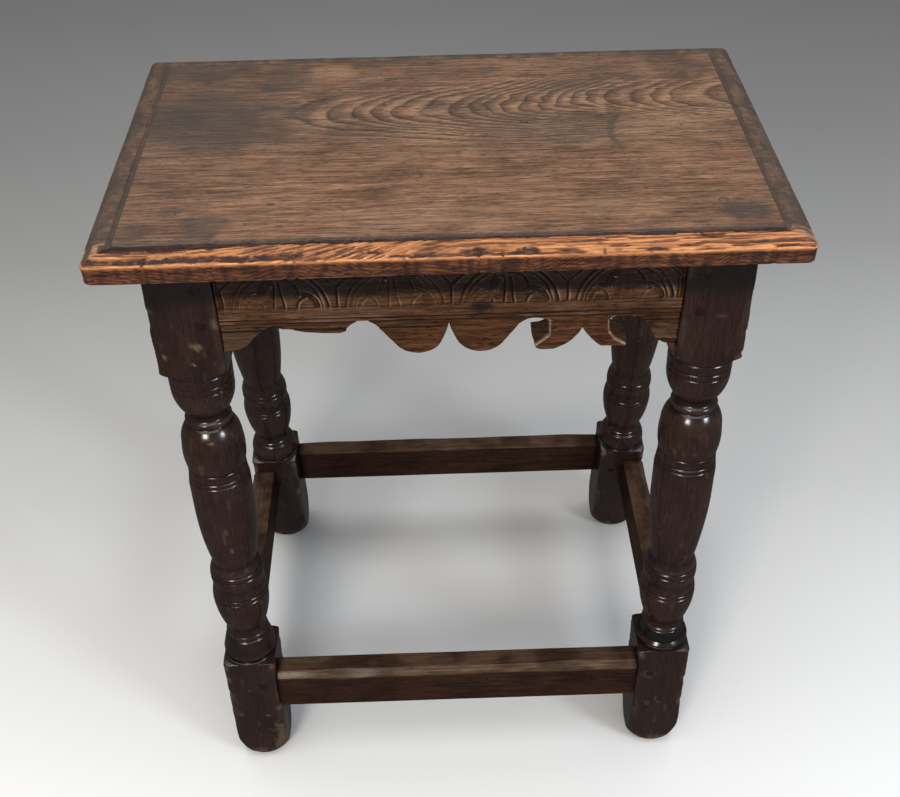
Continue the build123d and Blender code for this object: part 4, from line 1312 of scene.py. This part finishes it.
def make_floor():
    """A pale studio floor whose colour darkens away from the front: painted shade."""
    shader = Shader("floor")
    nearest, farthest = floor_painted_shades[0][0], floor_painted_shades[-1][0]
    place = shader.node("ShaderNodeTexCoord").outputs["Object"]
    along = shader.node("ShaderNodeSeparateXYZ", {0: place}).outputs["Y"]
    share = shader.node("ShaderNodeMapRange", {"Value": along, "From Min": nearest, "From Max": farthest})
    shade = shader.ramp(share.outputs[0], *[((y - nearest) / (farthest - nearest), shade)
                                            for y, shade in floor_painted_shades])
    mesh = bpy.data.meshes.new("floor")
    corners = [(-floor_side, floor_front, 0), (floor_side, floor_front, 0), (floor_side, floor_back, 0),
               (-floor_side, floor_back, 0)]
    mesh.from_pydata(corners, [], [[0, 1, 2, 3]])
    mesh.materials.append(shader.finish(Base_Color=shade, Roughness=0.9, Specular_IOR_Level=0.0))
    floor = bpy.data.objects.new("floor", mesh)
    bpy.context.scene.collection.objects.link(floor)
    floor.visible_glossy = False    # else the polished legs mirror it as haze


def area_light(name, place, target, size, power, colour=(1, 1, 1)):
    lamp = bpy.data.lights.new(name, "AREA")
    lamp.shape = "RECTANGLE"
    lamp.size, lamp.size_y = size
    lamp.energy = power
    lamp.color = colour
    light = bpy.data.objects.new(name, lamp)
    light.location = place
    light.rotation_euler = (Vector(target) - Vector(place)).to_track_quat("-Z", "Y").to_euler()
    bpy.context.scene.collection.objects.link(light)


make_floor()
area_light("softbox_over", (-0.12, -0.25, 2.7), (0, -0.25, 0), (3.6, 3.4), 95)
area_light("lamp_warm", (-0.60, -1.55, 1.25), stool_middle, lamp_size, 19.0, (1.0, 0.93, 0.82))
area_light("lamp_cool", (1.40, -1.15, 1.15), stool_middle, lamp_size, 16.5, (0.80, 0.89, 1.0))

scene = bpy.context.scene
scene.world = bpy.data.worlds.new("studio")
scene.world.use_nodes = True
background = scene.world.node_tree.nodes["Background"]
background.inputs["Color"].default_value = (1, 1, 1, 1)
background.inputs["Strength"].default_value = world_light
scene.view_settings.view_transform = "Standard"
scene.view_settings.look = "None"

camera_place = Vector((-0.0124, -0.71872, 0.948973))
yaw, pitch, roll = radians(1.034), radians(42.076), radians(-1.034)
ahead = Vector((sin(yaw) * cos(pitch), cos(yaw) * cos(pitch), -sin(pitch)))
across = Vector((cos(yaw), -sin(yaw), 0))
upward = across.cross(ahead)
right = cos(roll) * across + sin(roll) * upward
up_vector = -sin(roll) * across + cos(roll) * upward
camera_data = bpy.data.cameras.new("camera")
camera_data.sensor_width = 36
camera_data.lens = 45.30
camera = bpy.data.objects.new("camera", camera_data)
turned = Matrix((right, up_vector, -ahead)).transposed().to_4x4()
camera.matrix_world = Matrix.Translation(camera_place) @ turned
scene.collection.objects.link(camera)
scene.camera = camera
